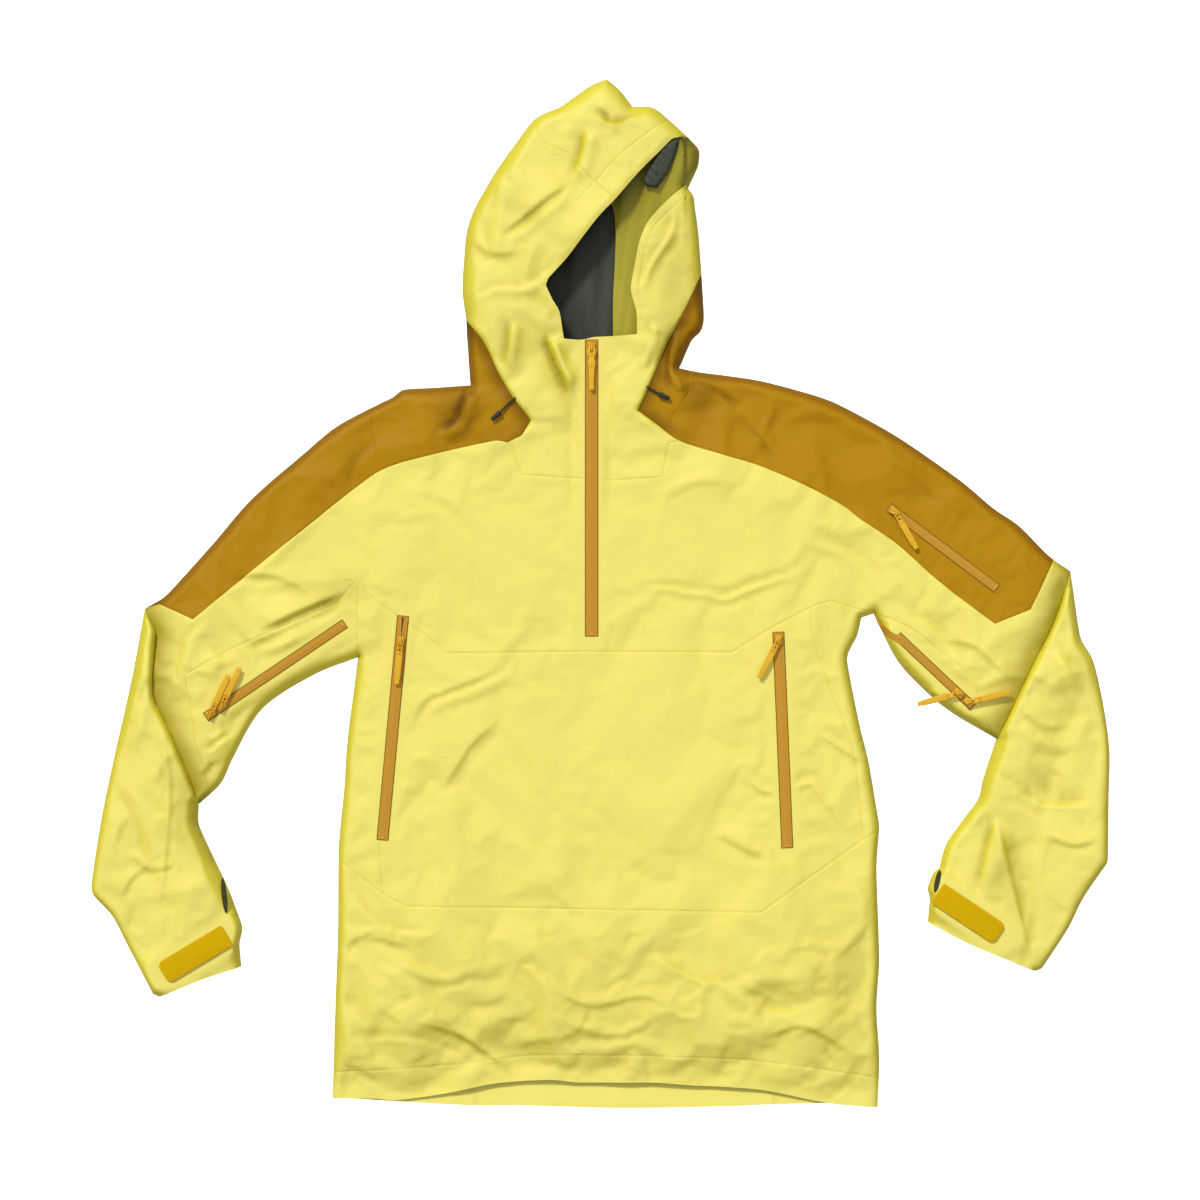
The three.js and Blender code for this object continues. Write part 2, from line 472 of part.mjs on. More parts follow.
function sliderGeometry(turn) {
  const half = SLIDER_WIDTH / 2;
  const channel = RAIL_WIDTH / 2 + GAP;
  const roof = RAIL_HEIGHT + GAP;
  const saddle = section([[-half, GAP], [-channel, GAP], [-channel, roof], [channel, roof], [channel, GAP],
    [half, GAP], [half, SLIDER_TOP], [-half, SLIDER_TOP]], SLIDER_LENGTH).translate(-SLIDER_LENGTH / 2, 0, 0);
  const foot = SLIDER_TOP - FOOT_SINK;
  const top = SLIDER_TOP + BAIL_OPENING;
  const reach = BAIL_LENGTH / 2;
  const inner = reach - BAIL_THICKNESS;
  const bail = new THREE.ExtrudeGeometry(new THREE.Shape([[-reach, foot], [-inner, foot], [-inner, top],
    [inner, top], [inner, foot], [reach, foot], [reach, top + BAIL_THICKNESS], [-reach, top + BAIL_THICKNESS]]
    .map(([x, y]) => new THREE.Vector2(x, y))), { depth: BAIL_WIDTH, bevelEnabled: false });
  bail.translate(0, 0, -BAIL_WIDTH / 2).rotateX(Math.PI / 2).rotateZ(turn);
  return geometryOf(solidOf(saddle).add(solidOf(bail)));
}

// The puller lies along +X from its pivot bar, with a window that clears the bail all the way round.
function pullerGeometry(length) {
  const half = PULLER_WIDTH / 2;
  const bar = PULLER_THICKNESS / 2;
  const window = BAIL_LENGTH / 2 + BAIL_THICKNESS + GAP + CLEARANCE;
  const gate = BAIL_WIDTH / 2 + GAP + CLEARANCE;
  const shape = new THREE.Shape();
  shape.moveTo(-bar, -half);
  shape.lineTo(length - half, -half);
  shape.absarc(length - half, 0, half, -Math.PI / 2, Math.PI / 2, false);
  shape.lineTo(-bar, half);
  shape.closePath();
  shape.holes.push(new THREE.Path([[bar, -gate], [bar, gate], [window, gate], [window, -gate]].map(([x, y]) =>
    new THREE.Vector2(x, y))));
  return new THREE.ExtrudeGeometry(shape, { depth: PULLER_THICKNESS, bevelEnabled: false, curveSegments: 6 })
    .translate(0, 0, -PULLER_THICKNESS / 2);
}

// Each slider: the zip it runs on, its place along it, and its puller's angle from the zip's run.
const sliders = [
  { name: 'front', zip: 'front_zip', place: 8, turn: 0 },
  { name: 'right_pocket', zip: 'right_pocket_zip', place: 28, turn: 0 },
  { name: 'left_pocket', zip: 'left_pocket_zip', place: 8, turn: -30 },
  { name: 'arm_pocket', zip: 'arm_pocket_zip', place: 8, turn: -23 },
  { name: 'right_pit_lower', zip: 'right_pit_zip', place: 6, turn: 31 },
  { name: 'right_pit_upper', zip: 'right_pit_zip', place: 21, turn: 31 },
  { name: 'left_pit_lower', zip: 'left_pit_zip', place: 6, turn: -122 },
  { name: 'left_pit_upper', zip: 'left_pit_zip', place: 21, turn: 58 },
];
for (const [name, zip] of Object.entries(zips)) {
  zip.group = new THREE.Group();
  zip.group.position.set(zip.from.x, zip.from.y, LOFT);
  zip.group.rotation.z = zip.run.angle();
  jacket.add(zip.group);
  add(zip.group, `${name}_tape`, tapeGeometry(zip.length, zip.width), tapeBrown);
}
for (const { name, zip, place, turn } of sliders) {
  const radians = THREE.MathUtils.degToRad(turn);
  const slider = add(zips[zip].group, `${name}_slider`, sliderGeometry(radians), sliderMetal);
  slider.position.x = place;
  const puller = add(zips[zip].group, `${name}_puller`, pullerGeometry(PULLER_LENGTH), gold);
  puller.position.set(place, 0, PIVOT_Z);
  puller.rotation.z = radians;
}

// ---------- Cuff tabs and hood cords ----------
const REST_Z = LOFT + GAP; // what lies on the panels lies here
function tabGeometry() {
  const half = TAB_WIDTH / 2;
  const corner = TAB_WIDTH / 4;
  const shape = new THREE.Shape();
  shape.moveTo(0, -half);
  shape.lineTo(TAB_LENGTH - corner, -half);
  shape.absarc(TAB_LENGTH - corner, -half + corner, corner, -Math.PI / 2, 0, false);
  shape.absarc(TAB_LENGTH - corner, half - corner, corner, 0, Math.PI / 2, false);
  shape.lineTo(0, half);
  shape.closePath();
  return new THREE.ExtrudeGeometry(shape, { depth: TAB_THICKNESS, bevelEnabled: false, curveSegments: 5 });
}
const tabs = [
  { name: 'right_cuff_tab', hinge: sleeve([-417.5, -382]), angle: -149 },
  { name: 'left_cuff_tab', hinge: sleeve([376.8, -335]), angle: -33.7 },
];
for (const { name, hinge, angle } of tabs) {
  const tab = add(jacket, name, tabGeometry(), tabGold);
  tab.position.set(hinge.x, hinge.y, REST_Z);
  tab.rotation.z = THREE.MathUtils.degToRad(angle);
}

// Each cord comes out below the hood's edge and ends in a tapered end, drawn along +X.
const cordPart = (length, start, end) => new THREE.CylinderGeometry(end / 2, start / 2, length, 8)
  .rotateZ(-Math.PI / 2).translate(length / 2, 0, 0);
const cords = [
  { side: 'right', exit: body([-88, 223]), angle: -139.7 },
  { side: 'left', exit: body([37, 236]), angle: -24.6 },
];
for (const { side, exit, angle } of cords) {
  const pull = new THREE.Group();
  pull.position.set(exit.x, exit.y, REST_Z);
  pull.rotation.z = THREE.MathUtils.degToRad(angle);
  jacket.add(pull);
  const cord = add(pull, `${side}_hood_cord`, cordPart(CORD_LENGTH, CORD_DIAMETER, CORD_DIAMETER), cordBlack);
  cord.position.z = CORD_DIAMETER / 2;
  const end = add(pull, `${side}_cord_end`, cordPart(CORD_END_LENGTH, CORD_END_DIAMETER, CORD_END_DIAMETER * CORD_END_TAPER),
    cordBlack);
  end.position.set(CORD_LENGTH + GAP, 0, CORD_END_DIAMETER / 2);
}

export default jacket;
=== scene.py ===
"""Looks of a half-zip hardshell pullover lying flat on its back.

Millimetres in the drafting below, metres in the meshes. +X is the wearer's left,
+Y runs to the hood, +Z is up. "Left" and "right" are the wearer's, so "right"
pieces are at negative X.
"""

import math

import bpy
import numpy as np
from mathutils import Matrix, Vector, geometry


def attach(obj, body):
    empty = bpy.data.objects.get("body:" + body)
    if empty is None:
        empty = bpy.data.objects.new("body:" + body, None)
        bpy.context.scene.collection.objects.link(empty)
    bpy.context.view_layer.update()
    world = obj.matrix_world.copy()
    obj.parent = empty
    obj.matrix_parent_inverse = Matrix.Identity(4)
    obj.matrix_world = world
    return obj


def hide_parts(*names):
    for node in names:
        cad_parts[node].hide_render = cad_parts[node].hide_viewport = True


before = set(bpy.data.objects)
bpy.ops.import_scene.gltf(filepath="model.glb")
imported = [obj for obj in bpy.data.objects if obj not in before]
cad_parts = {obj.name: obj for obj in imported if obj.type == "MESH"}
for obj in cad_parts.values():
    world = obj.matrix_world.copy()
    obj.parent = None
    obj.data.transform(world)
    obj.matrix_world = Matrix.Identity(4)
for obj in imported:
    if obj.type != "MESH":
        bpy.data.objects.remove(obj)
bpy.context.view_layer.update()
MM = 0.001
CLOTH_STEP = 3.0  # between points of the fabric mesh
RASTER = 2.2  # cell of the wrinkle map
SPAN = 640.0  # half size of the wrinkle map
BODY_TOP = 23.5  # the fabric's height where it lies flat
SEAM_ROW = 0.9  # from a seam to the next row of points
SEAM_SINK = 0.4
CLOTH = 0.6  # fabric thickness
SIM_FRAMES = 24
SIM_GROWTH = 0.02  # how much too large the buckling sheet is
SIM_CELL = 7.0
EDGE_Z = 6.5  # height of the folded edges

# ---------- Camera, light and floor ----------
scene = bpy.context.scene
scene.view_settings.view_transform = "Standard"
FRAME_WIDTH = 1.344
CAMERA_AT = (-0.0006, -0.0073, 4.0)
LEVEL_IN_FOCUS = 0.02  # the height that the frame's width is measured at


def make_camera():
    data = bpy.data.cameras.new("camera")
    data.sensor_width = 36
    data.lens = data.sensor_width * (CAMERA_AT[2] - LEVEL_IN_FOCUS) / FRAME_WIDTH
    camera = bpy.data.objects.new("camera", data)
    camera.location = CAMERA_AT
    scene.collection.objects.link(camera)
    scene.camera = camera


make_camera()


def area_light(name, place, size, power):
    data = bpy.data.lights.new(name, "AREA")
    data.shape = "SQUARE"
    data.size, data.energy = size, power
    light = bpy.data.objects.new(name, data)
    light.location = place
    light.rotation_mode = "QUATERNION"
    light.rotation_quaternion = (-Vector(place)).to_track_quat("-Z", "Y")
    scene.collection.objects.link(light)


def sun(name, direction, strength, softness):
    data = bpy.data.lights.new(name, "SUN")
    data.energy, data.angle = strength, math.radians(softness)
    light = bpy.data.objects.new(name, data)
    light.rotation_mode = "QUATERNION"
    light.rotation_quaternion = Vector(direction).to_track_quat("-Z", "Y")
    scene.collection.objects.link(light)


sun("key_light", (0.45, -0.8, -0.85), 2.28, 9)
area_light("fill_light", (0.7, 0.1, 3.0), 2.6, 12)
world = bpy.data.worlds.new("studio")
scene.world = world
world.use_nodes = True
world.node_tree.nodes["Background"].inputs["Color"].default_value = (1, 1, 1, 1)
world.node_tree.nodes["Background"].inputs["Strength"].default_value = 0.42


# ---------- Materials ----------
def linear(r, g, b):
    """A colour on the screen, 0 to 255, as the shader's linear numbers."""
    parts = [c / 255 for c in (r, g, b)]
    return (*[c / 12.92 if c <= 0.04045 else ((c + 0.055) / 1.055) ** 2.4 for c in parts], 1)


class Finish:
    """A Principled material and the few nodes that give its surface."""

    def __init__(self, name, colour, roughness=0.6, metallic=0.0):
        self.material = bpy.data.materials.new(name)
        self.material.use_nodes = True
        self.nodes, self.links = self.material.node_tree.nodes, self.material.node_tree.links
        self.shader = self.nodes["Principled BSDF"]
        self.shader.inputs["Base Color"].default_value = colour
        self.shader.inputs["Roughness"].default_value = roughness
        self.shader.inputs["Metallic"].default_value = metallic
        self.place = self.nodes.new("ShaderNodeTexCoord").outputs["Object"]
        self.normal = None

    def noise(self, scale, detail=2.0, rough=0.5, stretch=(1, 1, 1)):
        mapping = self.nodes.new("ShaderNodeMapping")
        mapping.inputs["Scale"].default_value = stretch
        self.links.new(self.place, mapping.inputs["Vector"])
        noise = self.nodes.new("ShaderNodeTexNoise")
        noise.inputs["Scale"].default_value = scale
        noise.inputs["Detail"].default_value = detail
        noise.inputs["Roughness"].default_value = rough
        self.links.new(mapping.outputs[0], noise.inputs["Vector"])
        return noise.outputs["Fac"]

    def weave(self, threads_per_metre):
        """Threads over and under each other, from two crossed waves."""
        waves = []
        for direction in ("X", "Y"):
            wave = self.nodes.new("ShaderNodeTexWave")
            wave.bands_direction = direction
            wave.inputs["Scale"].default_value = threads_per_metre / 3.1416
            wave.inputs["Distortion"].default_value = 0.4
            self.links.new(self.place, wave.inputs["Vector"])
            waves.append(wave.outputs["Fac"])
        both = self.nodes.new("ShaderNodeMath")
        both.operation = "MULTIPLY"
        self.links.new(waves[0], both.inputs[0])
        self.links.new(waves[1], both.inputs[1])
        return both.outputs[0]

    def bump(self, height, distance, strength=1.0):
        bump = self.nodes.new("ShaderNodeBump")
        bump.inputs["Distance"].default_value = distance
        bump.inputs["Strength"].default_value = strength
        self.links.new(height, bump.inputs["Height"])
        if self.normal:
            self.links.new(self.normal, bump.inputs["Normal"])
        self.normal = bump.outputs["Normal"]
        self.links.new(self.normal, self.shader.inputs["Normal"])
        return self

    def tint(self, fac, dark, light):
        mix = self.nodes.new("ShaderNodeMix")
        mix.data_type = "RGBA"
        mix.inputs[6].default_value, mix.inputs[7].default_value = dark, light
        self.links.new(fac, mix.inputs[0])
        self.links.new(mix.outputs[2], self.shader.inputs["Base Color"])
        return self


def nylon(name, tilted_shade_colour, level_sheen_colour, shadow, roughness=0.52, specular=0.3):
    """Coated cloth with painted light: a painted sheen makes it pale where level, painted shade makes it
    deeper where a fold tilts it, and painted shade darkens the hollows.
    """
    finish = Finish(name, level_sheen_colour, roughness)
    finish.shader.inputs["Specular IOR Level"].default_value = specular
    finish.bump(finish.noise(75, 3, 0.55), 0.0012, 0.5)
    finish.bump(finish.noise(330, 2, 0.6), 0.0002, 0.5)
    finish.bump(finish.weave(1600), 0.00008, 0.5)
    # painted sheen and shade: the colour moves from the tilted colour to the level one as the bumped normal
    # turns upwards
    facing = finish.nodes.new("ShaderNodeSeparateXYZ")
    finish.links.new(finish.normal, facing.inputs[0])
    sheen_by_tilt = finish.nodes.new("ShaderNodeMapRange")
    sheen_by_tilt.inputs["From Min"].default_value, sheen_by_tilt.inputs["From Max"].default_value = 0.74, 0.995
    finish.links.new(facing.outputs["Z"], sheen_by_tilt.inputs["Value"])
    finish.tint(sheen_by_tilt.outputs[0], tilted_shade_colour, level_sheen_colour)
    # painted shade: a per-point attribute multiplies the colour towards the shadow colour
    painted_shade = finish.nodes.new("ShaderNodeAttribute")
    painted_shade.attribute_name = "painted_shade"
    shade = finish.nodes.new("ShaderNodeMix")
    shade.data_type, shade.blend_type = "RGBA", "MULTIPLY"
    shade.inputs[7].default_value = shadow
    finish.links.new(painted_shade.outputs["Fac"], shade.inputs[0])
    finish.links.new(finish.shader.inputs["Base Color"].links[0].from_socket, shade.inputs[6])
    finish.links.new(shade.outputs[2], finish.shader.inputs["Base Color"])
    return finish.material


# Each nylon: its colour on tilted faces (painted shade), on level faces (painted sheen), then its painted
# shadow colour
YELLOW = nylon("yellow_nylon", linear(222, 207, 58), linear(240, 228, 112), linear(188, 182, 120))
OCHRE = nylon("ochre_nylon", linear(150, 104, 0), linear(180, 132, 0), linear(150, 140, 120), specular=0.14)
# painted shade: the inside of the hood's yellow cloth, given darker colours for the shade it lies in
SHADED_YELLOW = nylon("inner_facing", linear(150, 141, 28), linear(180, 169, 44), linear(140, 138, 90))
GREY = nylon("grey_lining", linear(44, 46, 36), linear(68, 71, 58), linear(110, 110, 104), 0.62, 0.3)
TAPE = Finish("zip_tape_nylon", linear(196, 144, 38), 0.5)
TAPE.shader.inputs["Specular IOR Level"].default_value = 0.2
TAPE = TAPE.bump(TAPE.noise(900, 2), 0.0003).material
TEETH = Finish("zip_teeth", linear(208, 158, 62), 0.35).material
TAPE_EDGE = Finish("zip_edge", linear(120, 84, 10), 0.8).material
METAL = Finish("slider_gold", linear(222, 168, 28), 0.28, 0.35).material
PULL = Finish("puller_gold", linear(226, 176, 14), 0.55)
PULL = PULL.bump(PULL.noise(700, 2), 0.0003).material
TAB = Finish("tab_gold", linear(222, 180, 0), 0.9)
TAB.shader.inputs["Specular IOR Level"].default_value = 0.1
TAB = TAB.bump(TAB.noise(700, 3, 0.7, (1, 3, 1)), 0.0009).material
BLACK = Finish("cord_black", linear(34, 33, 34), 0.55)
BLACK = BLACK.bump(BLACK.noise(1500, 1), 0.0003).material
# painted shadow: a dark colour for gaps and openings that lie in shade
PAINTED_SHADOW = Finish("painted_shadow_dark", linear(58, 54, 22), 0.9).material
WHITE = Finish("paper_white", linear(252, 252, 252), 0.9)
WHITE.shader.inputs["Emission Color"].default_value = (1, 1, 1, 1)
WHITE.shader.inputs["Emission Strength"].default_value = 0.9
WHITE = WHITE.material

bpy.ops.mesh.primitive_plane_add(size=60, location=(0, 0, -0.0006))
floor = bpy.context.object
floor.name = "floor"
floor.data.materials.append(WHITE)
floor.visible_diffuse = floor.visible_glossy = False


# ---------- Lines ----------
def smooth(points, step=3.5, corner=38):
    """A polyline through the points, curved between them except at sharp corners."""
    p = np.array(points, float)
    if len(p) > 2:
        d = np.diff(p, axis=0)
        a = np.degrees(np.arctan2(d[:, 1], d[:, 0]))
        turn = np.abs((np.diff(a) + 180) % 360 - 180)
        sharp = [0, *[i + 1 for i in range(len(turn)) if turn[i] > corner], len(p) - 1]
    else:
        sharp = [0, len(p) - 1]
    out = []
    for first, last in zip(sharp[:-1], sharp[1:]):
        run = p[first:last + 1]
        padded = np.vstack([2 * run[0] - run[1], run, 2 * run[-1] - run[-2]])
        for i in range(1, len(padded) - 2):
            a, b, c, d = padded[i - 1:i + 3]
            length = np.linalg.norm(c - b)
            ends = 0.5 * min(1, np.linalg.norm(b - a) / length), 0.5 * min(1, np.linalg.norm(d - c) / length)
            m0 = (c - a) / max(np.linalg.norm(c - a), 1e-9) * length * 2 * ends[0]
            m1 = (d - b) / max(np.linalg.norm(d - b), 1e-9) * length * 2 * ends[1]
            n = max(1, int(round(length / step)))
            t = (np.arange(n) / n)[:, None]
            out.append((2 * t**3 - 3 * t**2 + 1) * b + (t**3 - 2 * t**2 + t) * m0
                       + (-2 * t**3 + 3 * t**2) * c + (t**3 - t**2) * m1)
    out.append(p[-1:])
    return np.vstack(out)


def joined(*lines):
    """Lines put end to end, without the doubled points."""
    out = [tuple(p) for line in lines for p in line]
    kept = [out[0]]
    for p in out[1:]:
        if math.dist(p, kept[-1]) > 0.4:
            kept.append(p)
    if math.dist(kept[0], kept[-1]) < 0.4:
        kept.pop()
    return np.array(kept)


def far_from(points, line, closed=False):
    """Each point's distance to a polyline."""
    a = np.asarray(line, float)
    b = np.roll(a, -1, axis=0) if closed else a[1:]
    a = a if closed else a[:-1]
    best = np.full(len(points), 1e9)
    d = b - a
    size = np.maximum((d**2).sum(1), 1e-9)
    for start in range(0, len(points), 4000):
        p = points[start:start + 4000, None, :]
        t = np.clip(((p - a) * d).sum(2) / size, 0, 1)
        best[start:start + 4000] = np.sqrt(((p - a - t[..., None] * d)**2).sum(2).min(1))
    return best


def inside(points, outline):
    """Which points lie within a closed outline."""
    a, b = outline, np.roll(outline, -1, axis=0)
    odd = np.zeros(len(points), bool)
    for start in range(0, len(points), 4000):
        x, y = points[start:start + 4000, 0, None], points[start:start + 4000, 1, None]
        crosses = (a[:, 1] > y) != (b[:, 1] > y)
        run = np.where(b[:, 1] == a[:, 1], 1e-9, b[:, 1] - a[:, 1])
        edge_x = (b[:, 0] - a[:, 0]) * (y - a[:, 1]) / run + a[:, 0]
        odd[start:start + 4000] = (crosses & (x < edge_x)).sum(1) % 2 == 1
    return odd


def offset(line, distance):
    d = np.gradient(line, axis=0)
    d /= np.maximum(np.linalg.norm(d, axis=1, keepdims=True), 1e-9)
    return line + distance * np.stack([-d[:, 1], d[:, 0]], 1)


def step_up(x, low, high):
    t = np.clip((x - low) / (high - low), 0, 1)
    return t * t * (3 - 2 * t)


def rolled(distance, radius):
    """A quarter round from 0 at an edge to 1 past the radius."""
    return np.sqrt(1 - (1 - np.clip(distance / radius, 0, 1))**2)


# ---------- Outlines and seams ----------
hood_left = [(7, 578), (22, 565), (36, 547), (58, 546), (76, 533), (99, 512)]
rim_left = [(90, 511), (80, 508), (66, 494), (44, 472), (18, 442), (-2, 421), (-22, 395), (-38, 374),
            (-58, 352), (-61, 344), (-54, 329), (-46, 315), (-43, 297), (-41, 285)]
collar_top = [(-41, 285), (-22, 284), (-7, 287), (16, 288), (41, 290)]
rim_right = [(41, 290), (40, 315), (34, 340), (39, 371), (44, 395), (54, 417), (76, 441), (96, 458)]
strip_outer = [(98, 455), (104, 447), (106, 433), (110, 403), (113, 362), (116, 312), (113, 296),
               (102, 284), (88, 253)]
left_shoulder = [(88, 253), (114, 248), (178, 239), (242, 222), (272, 210), (335, 175), (404, 127),
                 (441, 96), (470, 76), (503, 43), (528, 25)]
left_outer = [(528, 25), (539, -48), (553, -74), (563, -115), (570, -158), (572, -185), (571, -226),
              (570, -300), (563, -312), (542, -343), (525, -377), (496, -421), (488, -424)]
left_cuff = [(488, -424), (450, -408), (408, -390), (368, -369)]
left_inner = [(368, -369), (370, -343), (368, -330), (375, -313), (381, -308), (390, -279), (424, -232),
              (430, -209), (445, -163)]
left_under = [(445, -163), (397, -135), (367, -111), (333, -74), (307, -22)]
left_side = [(307, -22), (293, -27), (288, -48), (277, -74), (291, -148), (301, -189), (310, -242),
             (313, -263), (310, -310), (313, -410), (310, -466), (313, -522), (311, -577)]
front_hem = [(311, -577), (254, -572), (179, -557), (100, -552), (59, -549), (-24, -549), (-58, -546),
             (-119, -550), (-178, -562), (-231, -569), (-253, -567), (-301, -567)]
back_hem = [(311, -577), (254, -573), (195, -574), (142, -576), (25, -578), (-87, -575), (-144, -575),
            (-219, -571), (-301, -567)]
right_side = [(-301, -567), (-298, -466), (-295, -380), (-294, -284), (-288, -220), (-284, -162),
              (-272, -71)]
right_under = [(-272, -71), (-322, -91), (-380, -129), (-413, -184), (-427, -213), (-452, -237)]
right_inner = [(-452, -237), (-451, -262), (-422, -324), (-413, -346), (-403, -375), (-406, -394),
               (-404, -419)]
right_cuff = [(-404, -419), (-428, -426), (-456, -436), (-496, -453)]
right_outer = [(-496, -453), (-503, -450), (-531, -396), (-549, -362), (-570, -339), (-572, -325),
               (-561, -254), (-547, -186), (-527, -97), (-512, -17)]
right_shoulder = [(-512, -17), (-488, -2), (-437, 54), (-393, 105), (-337, 154), (-294, 189),
                  (-234, 220), (-221, 229), (-186, 231), (-146, 234)]
hood_right = [(-146, 234), (-148, 262), (-150, 290), (-151, 309), (-155, 340), (-153, 379), (-150, 407),
              (-142, 431), (-130, 453), (-115, 478), (-95, 506), (-77, 530), (-64, 539), (-45, 547),
              (-25, 561), (-10, 571), (7, 578)]
brim_end = [(99, 512), (110, 500), (111, 491), (109, 479), (98, 455)]
closed_edges = [smooth(e) for e in (brim_end, strip_outer, left_shoulder, left_outer, left_inner,
                                    left_under, left_side, right_side, right_under, right_inner,
                                    right_outer, right_shoulder, hood_right, hood_left)]
front_outline = joined(*[smooth(e) for e in (rim_right, strip_outer, left_shoulder, left_outer,
                                             left_cuff, left_inner, left_under, left_side, front_hem,
                                             right_side, right_under, right_inner, right_cuff,
                                             right_outer, right_shoulder, hood_right, hood_left,
                                             rim_left, collar_top)])

seams = {
    "right_yoke": [(-160, 300), (-151, 307), (-130, 280), (-114, 246), (-97, 218), (-78, 194),
                   (-88, 177), (-104, 169), (-118, 171), (-186, 156), (-251, 135), (-337, 68),
                   (-376, 37), (-456, -29), (-476, -20), (-494, -12), (-530, -20)],
    "left_yoke": [(120, 362), (113, 358), (92, 314), (71, 271), (51, 224), (42, 205), (62, 190),
                  (88, 171), (135, 156), (178, 143), (229, 121), (272, 98), (291, 83), (331, 56),
                  (370, 21), (397, -1), (441, -34), (481, -18), (496, 13), (512, 46)],
    "right_collar": [(-104, 169), (-99, 165), (-88, 133), (-19, 128)],
    "left_collar": [(88, 171), (77, 168), (69, 130), (2, 126)],
    "collar_middle": [(-19, 128), (2, 126)],
    "right_chest": [(-280, 20), (-273, 15), (-257, -3), (-226, -26), (-193, -49), (-172, -67),
                    (-17, -65), (-4, -65), (147, -66), (191, -39), (235, -16), (258, -8), (303, -22),
                    (330, -30)],
    "right_armpit": [(-272, -78), (-272, 15), (-282, 14)],
    "right_underarm": [(-300, -10), (-297, -12), (-413, -62), (-464, -91), (-458, -140), (-446, -190),
                       (-436, -225)],
    "right_armpit_link": [(-273, 15), (-297, -12)],
    "left_armpit": [(303, -22), (296, -28)],
    "left_underarm": [(303, -22), (345, -38), (398, -78), (420, -100), (430, -140), (450, -180)],
    "right_side": [(-226, -26), (-232, -120), (-239, -210), (-247, -284), (-243, -338)],
    "left_side": [(235, -16), (239, -50), (258, -109), (284, -180), (294, -276), (300, -276)],
    "lower": [(-300, -298), (-286, -304), (-243, -337), (-216, -350), (179, -357), (294, -276),
              (320, -262)],
    "right_elbow": [(-520, -5), (-512, -17), (-499, -43), (-502, -91), (-501, -117), (-483, -155),
                    (-464, -200), (-451, -236), (-447, -250)],
    "left_elbow": [(535, 32), (528, 25), (508, -34), (481, -88), (454, -145), (445, -163), (438, -170)],
    "hood_seam": [(-110, 575), (-95, 560), (-64, 505), (-37, 492), (-25, 477), (12, 443), (30, 425)],
    "brim_seam": [(110, 552), (102, 545), (62, 521), (20, 488), (-4, 462), (-25, 440)],
    "hem_stitch": [(320, -545), (200, -527), (100, -520), (-60, -518), (-180, -530), (-310, -538)],
    "strip_stitch": [(44, 300), (47, 316), (43, 340), (47, 368), (52, 391), (62, 412), (84, 434),
                     (100, 448)],
    "right_shoulder_seam": [(-255, 225), (-255, 170), (-248, 134)],
    "left_shoulder_seam": [(99, 262), (99, 240), (99, 225), (79, 195)],
    "slit": [(-36, 292), (-46, 283), (-58, 282), (-60, 290)],
    "zip_middle": [(-10, 300), (-10, 120)],
    "right_neck": [(-60, 290), (-90, 287), (-140, 284)],
    "left_neck": [(30, 300), (44, 289), (60, 291), (108, 293)],
}
seams = {name: smooth(points, corner=24) for name, points in seams.items()}
panel_seeds = {
    "right_yoke": [(-300, 120), (-200, 200)], "left_yoke": [(300, 130), (90, 205), (150, 200)],
    "right_collar": [(-60, 200)], "left_collar": [(30, 180)],
    "chest": [(0, 50)], "right_underarm": [(-370, -90)], "left_underarm": [(380, -100)],
    "belly": [(0, -200)], "hem_panel": [(0, -450), (0, -535)],
    "right_side_panel": [(-260, -200)], "left_side_panel": [(290, -120)],
    "right_forearm": [(-500, -300)], "left_forearm": [(500, -250)],
    "right_hood_side": [(-120, 450)], "hood_crown": [(0, 520)], "hood_brim": [(70, 505)],
    "left_hood_strip": [(80, 330), (46, 350)],
}
# Zip lines: from, to, half width of the bed that stays flat.
zip_lines = [((-10, 284), (-10, -52), 9), ((-221, -26), (-245, -276), 8), ((199, -40), (209, -284), 8),
             ((323, 96), (443, 6), 7), ((-441, -138), (-288, -35), 7), ((416, -126), (332, -47), 7)]
flat_spots = [((-417.5, -382), (-490, -425), 17), ((376.8, -335), (447, -382), 17),
              ((-88, 223), (-122, 194), 7), ((37, 236), (77, 218), 7), ((-10, 275), (-10, 225), 6),
              ((-224, -54), (-228, -100), 6), ((199, -52), (177, -94), 6), ((329, 91), (353, 50), 6),
              ((-436, -135), (-416, -91), 6), ((-424, -126), (-403, -83), 6),
              ((412, -122), (458, -110), 6), ((401, -112), (354, -124), 6)]


# ---------- Wrinkles ----------
rng = np.random.default_rng(7)
cells = int(2 * SPAN / RASTER) + 1
axis = np.linspace(-SPAN, SPAN, cells)
GX, GY = np.meshgrid(axis, axis)


def blur(field, radius):
    """A soft blur, by two box means each way."""
    n = max(1, int(round(radius / RASTER)))
    for _ in range(2):
        for ax in (0, 1):
            pad = [(n + 1, n) if a == ax else (0, 0) for a in (0, 1)]
            total = np.cumsum(np.pad(field, pad, mode="edge"), axis=ax)
            high = np.take(total, range(2 * n + 1, total.shape[ax]), axis=ax)
            low = np.take(total, range(0, total.shape[ax] - 2 * n - 1), axis=ax)
            field = (high - low) / (2 * n + 1)
    return field


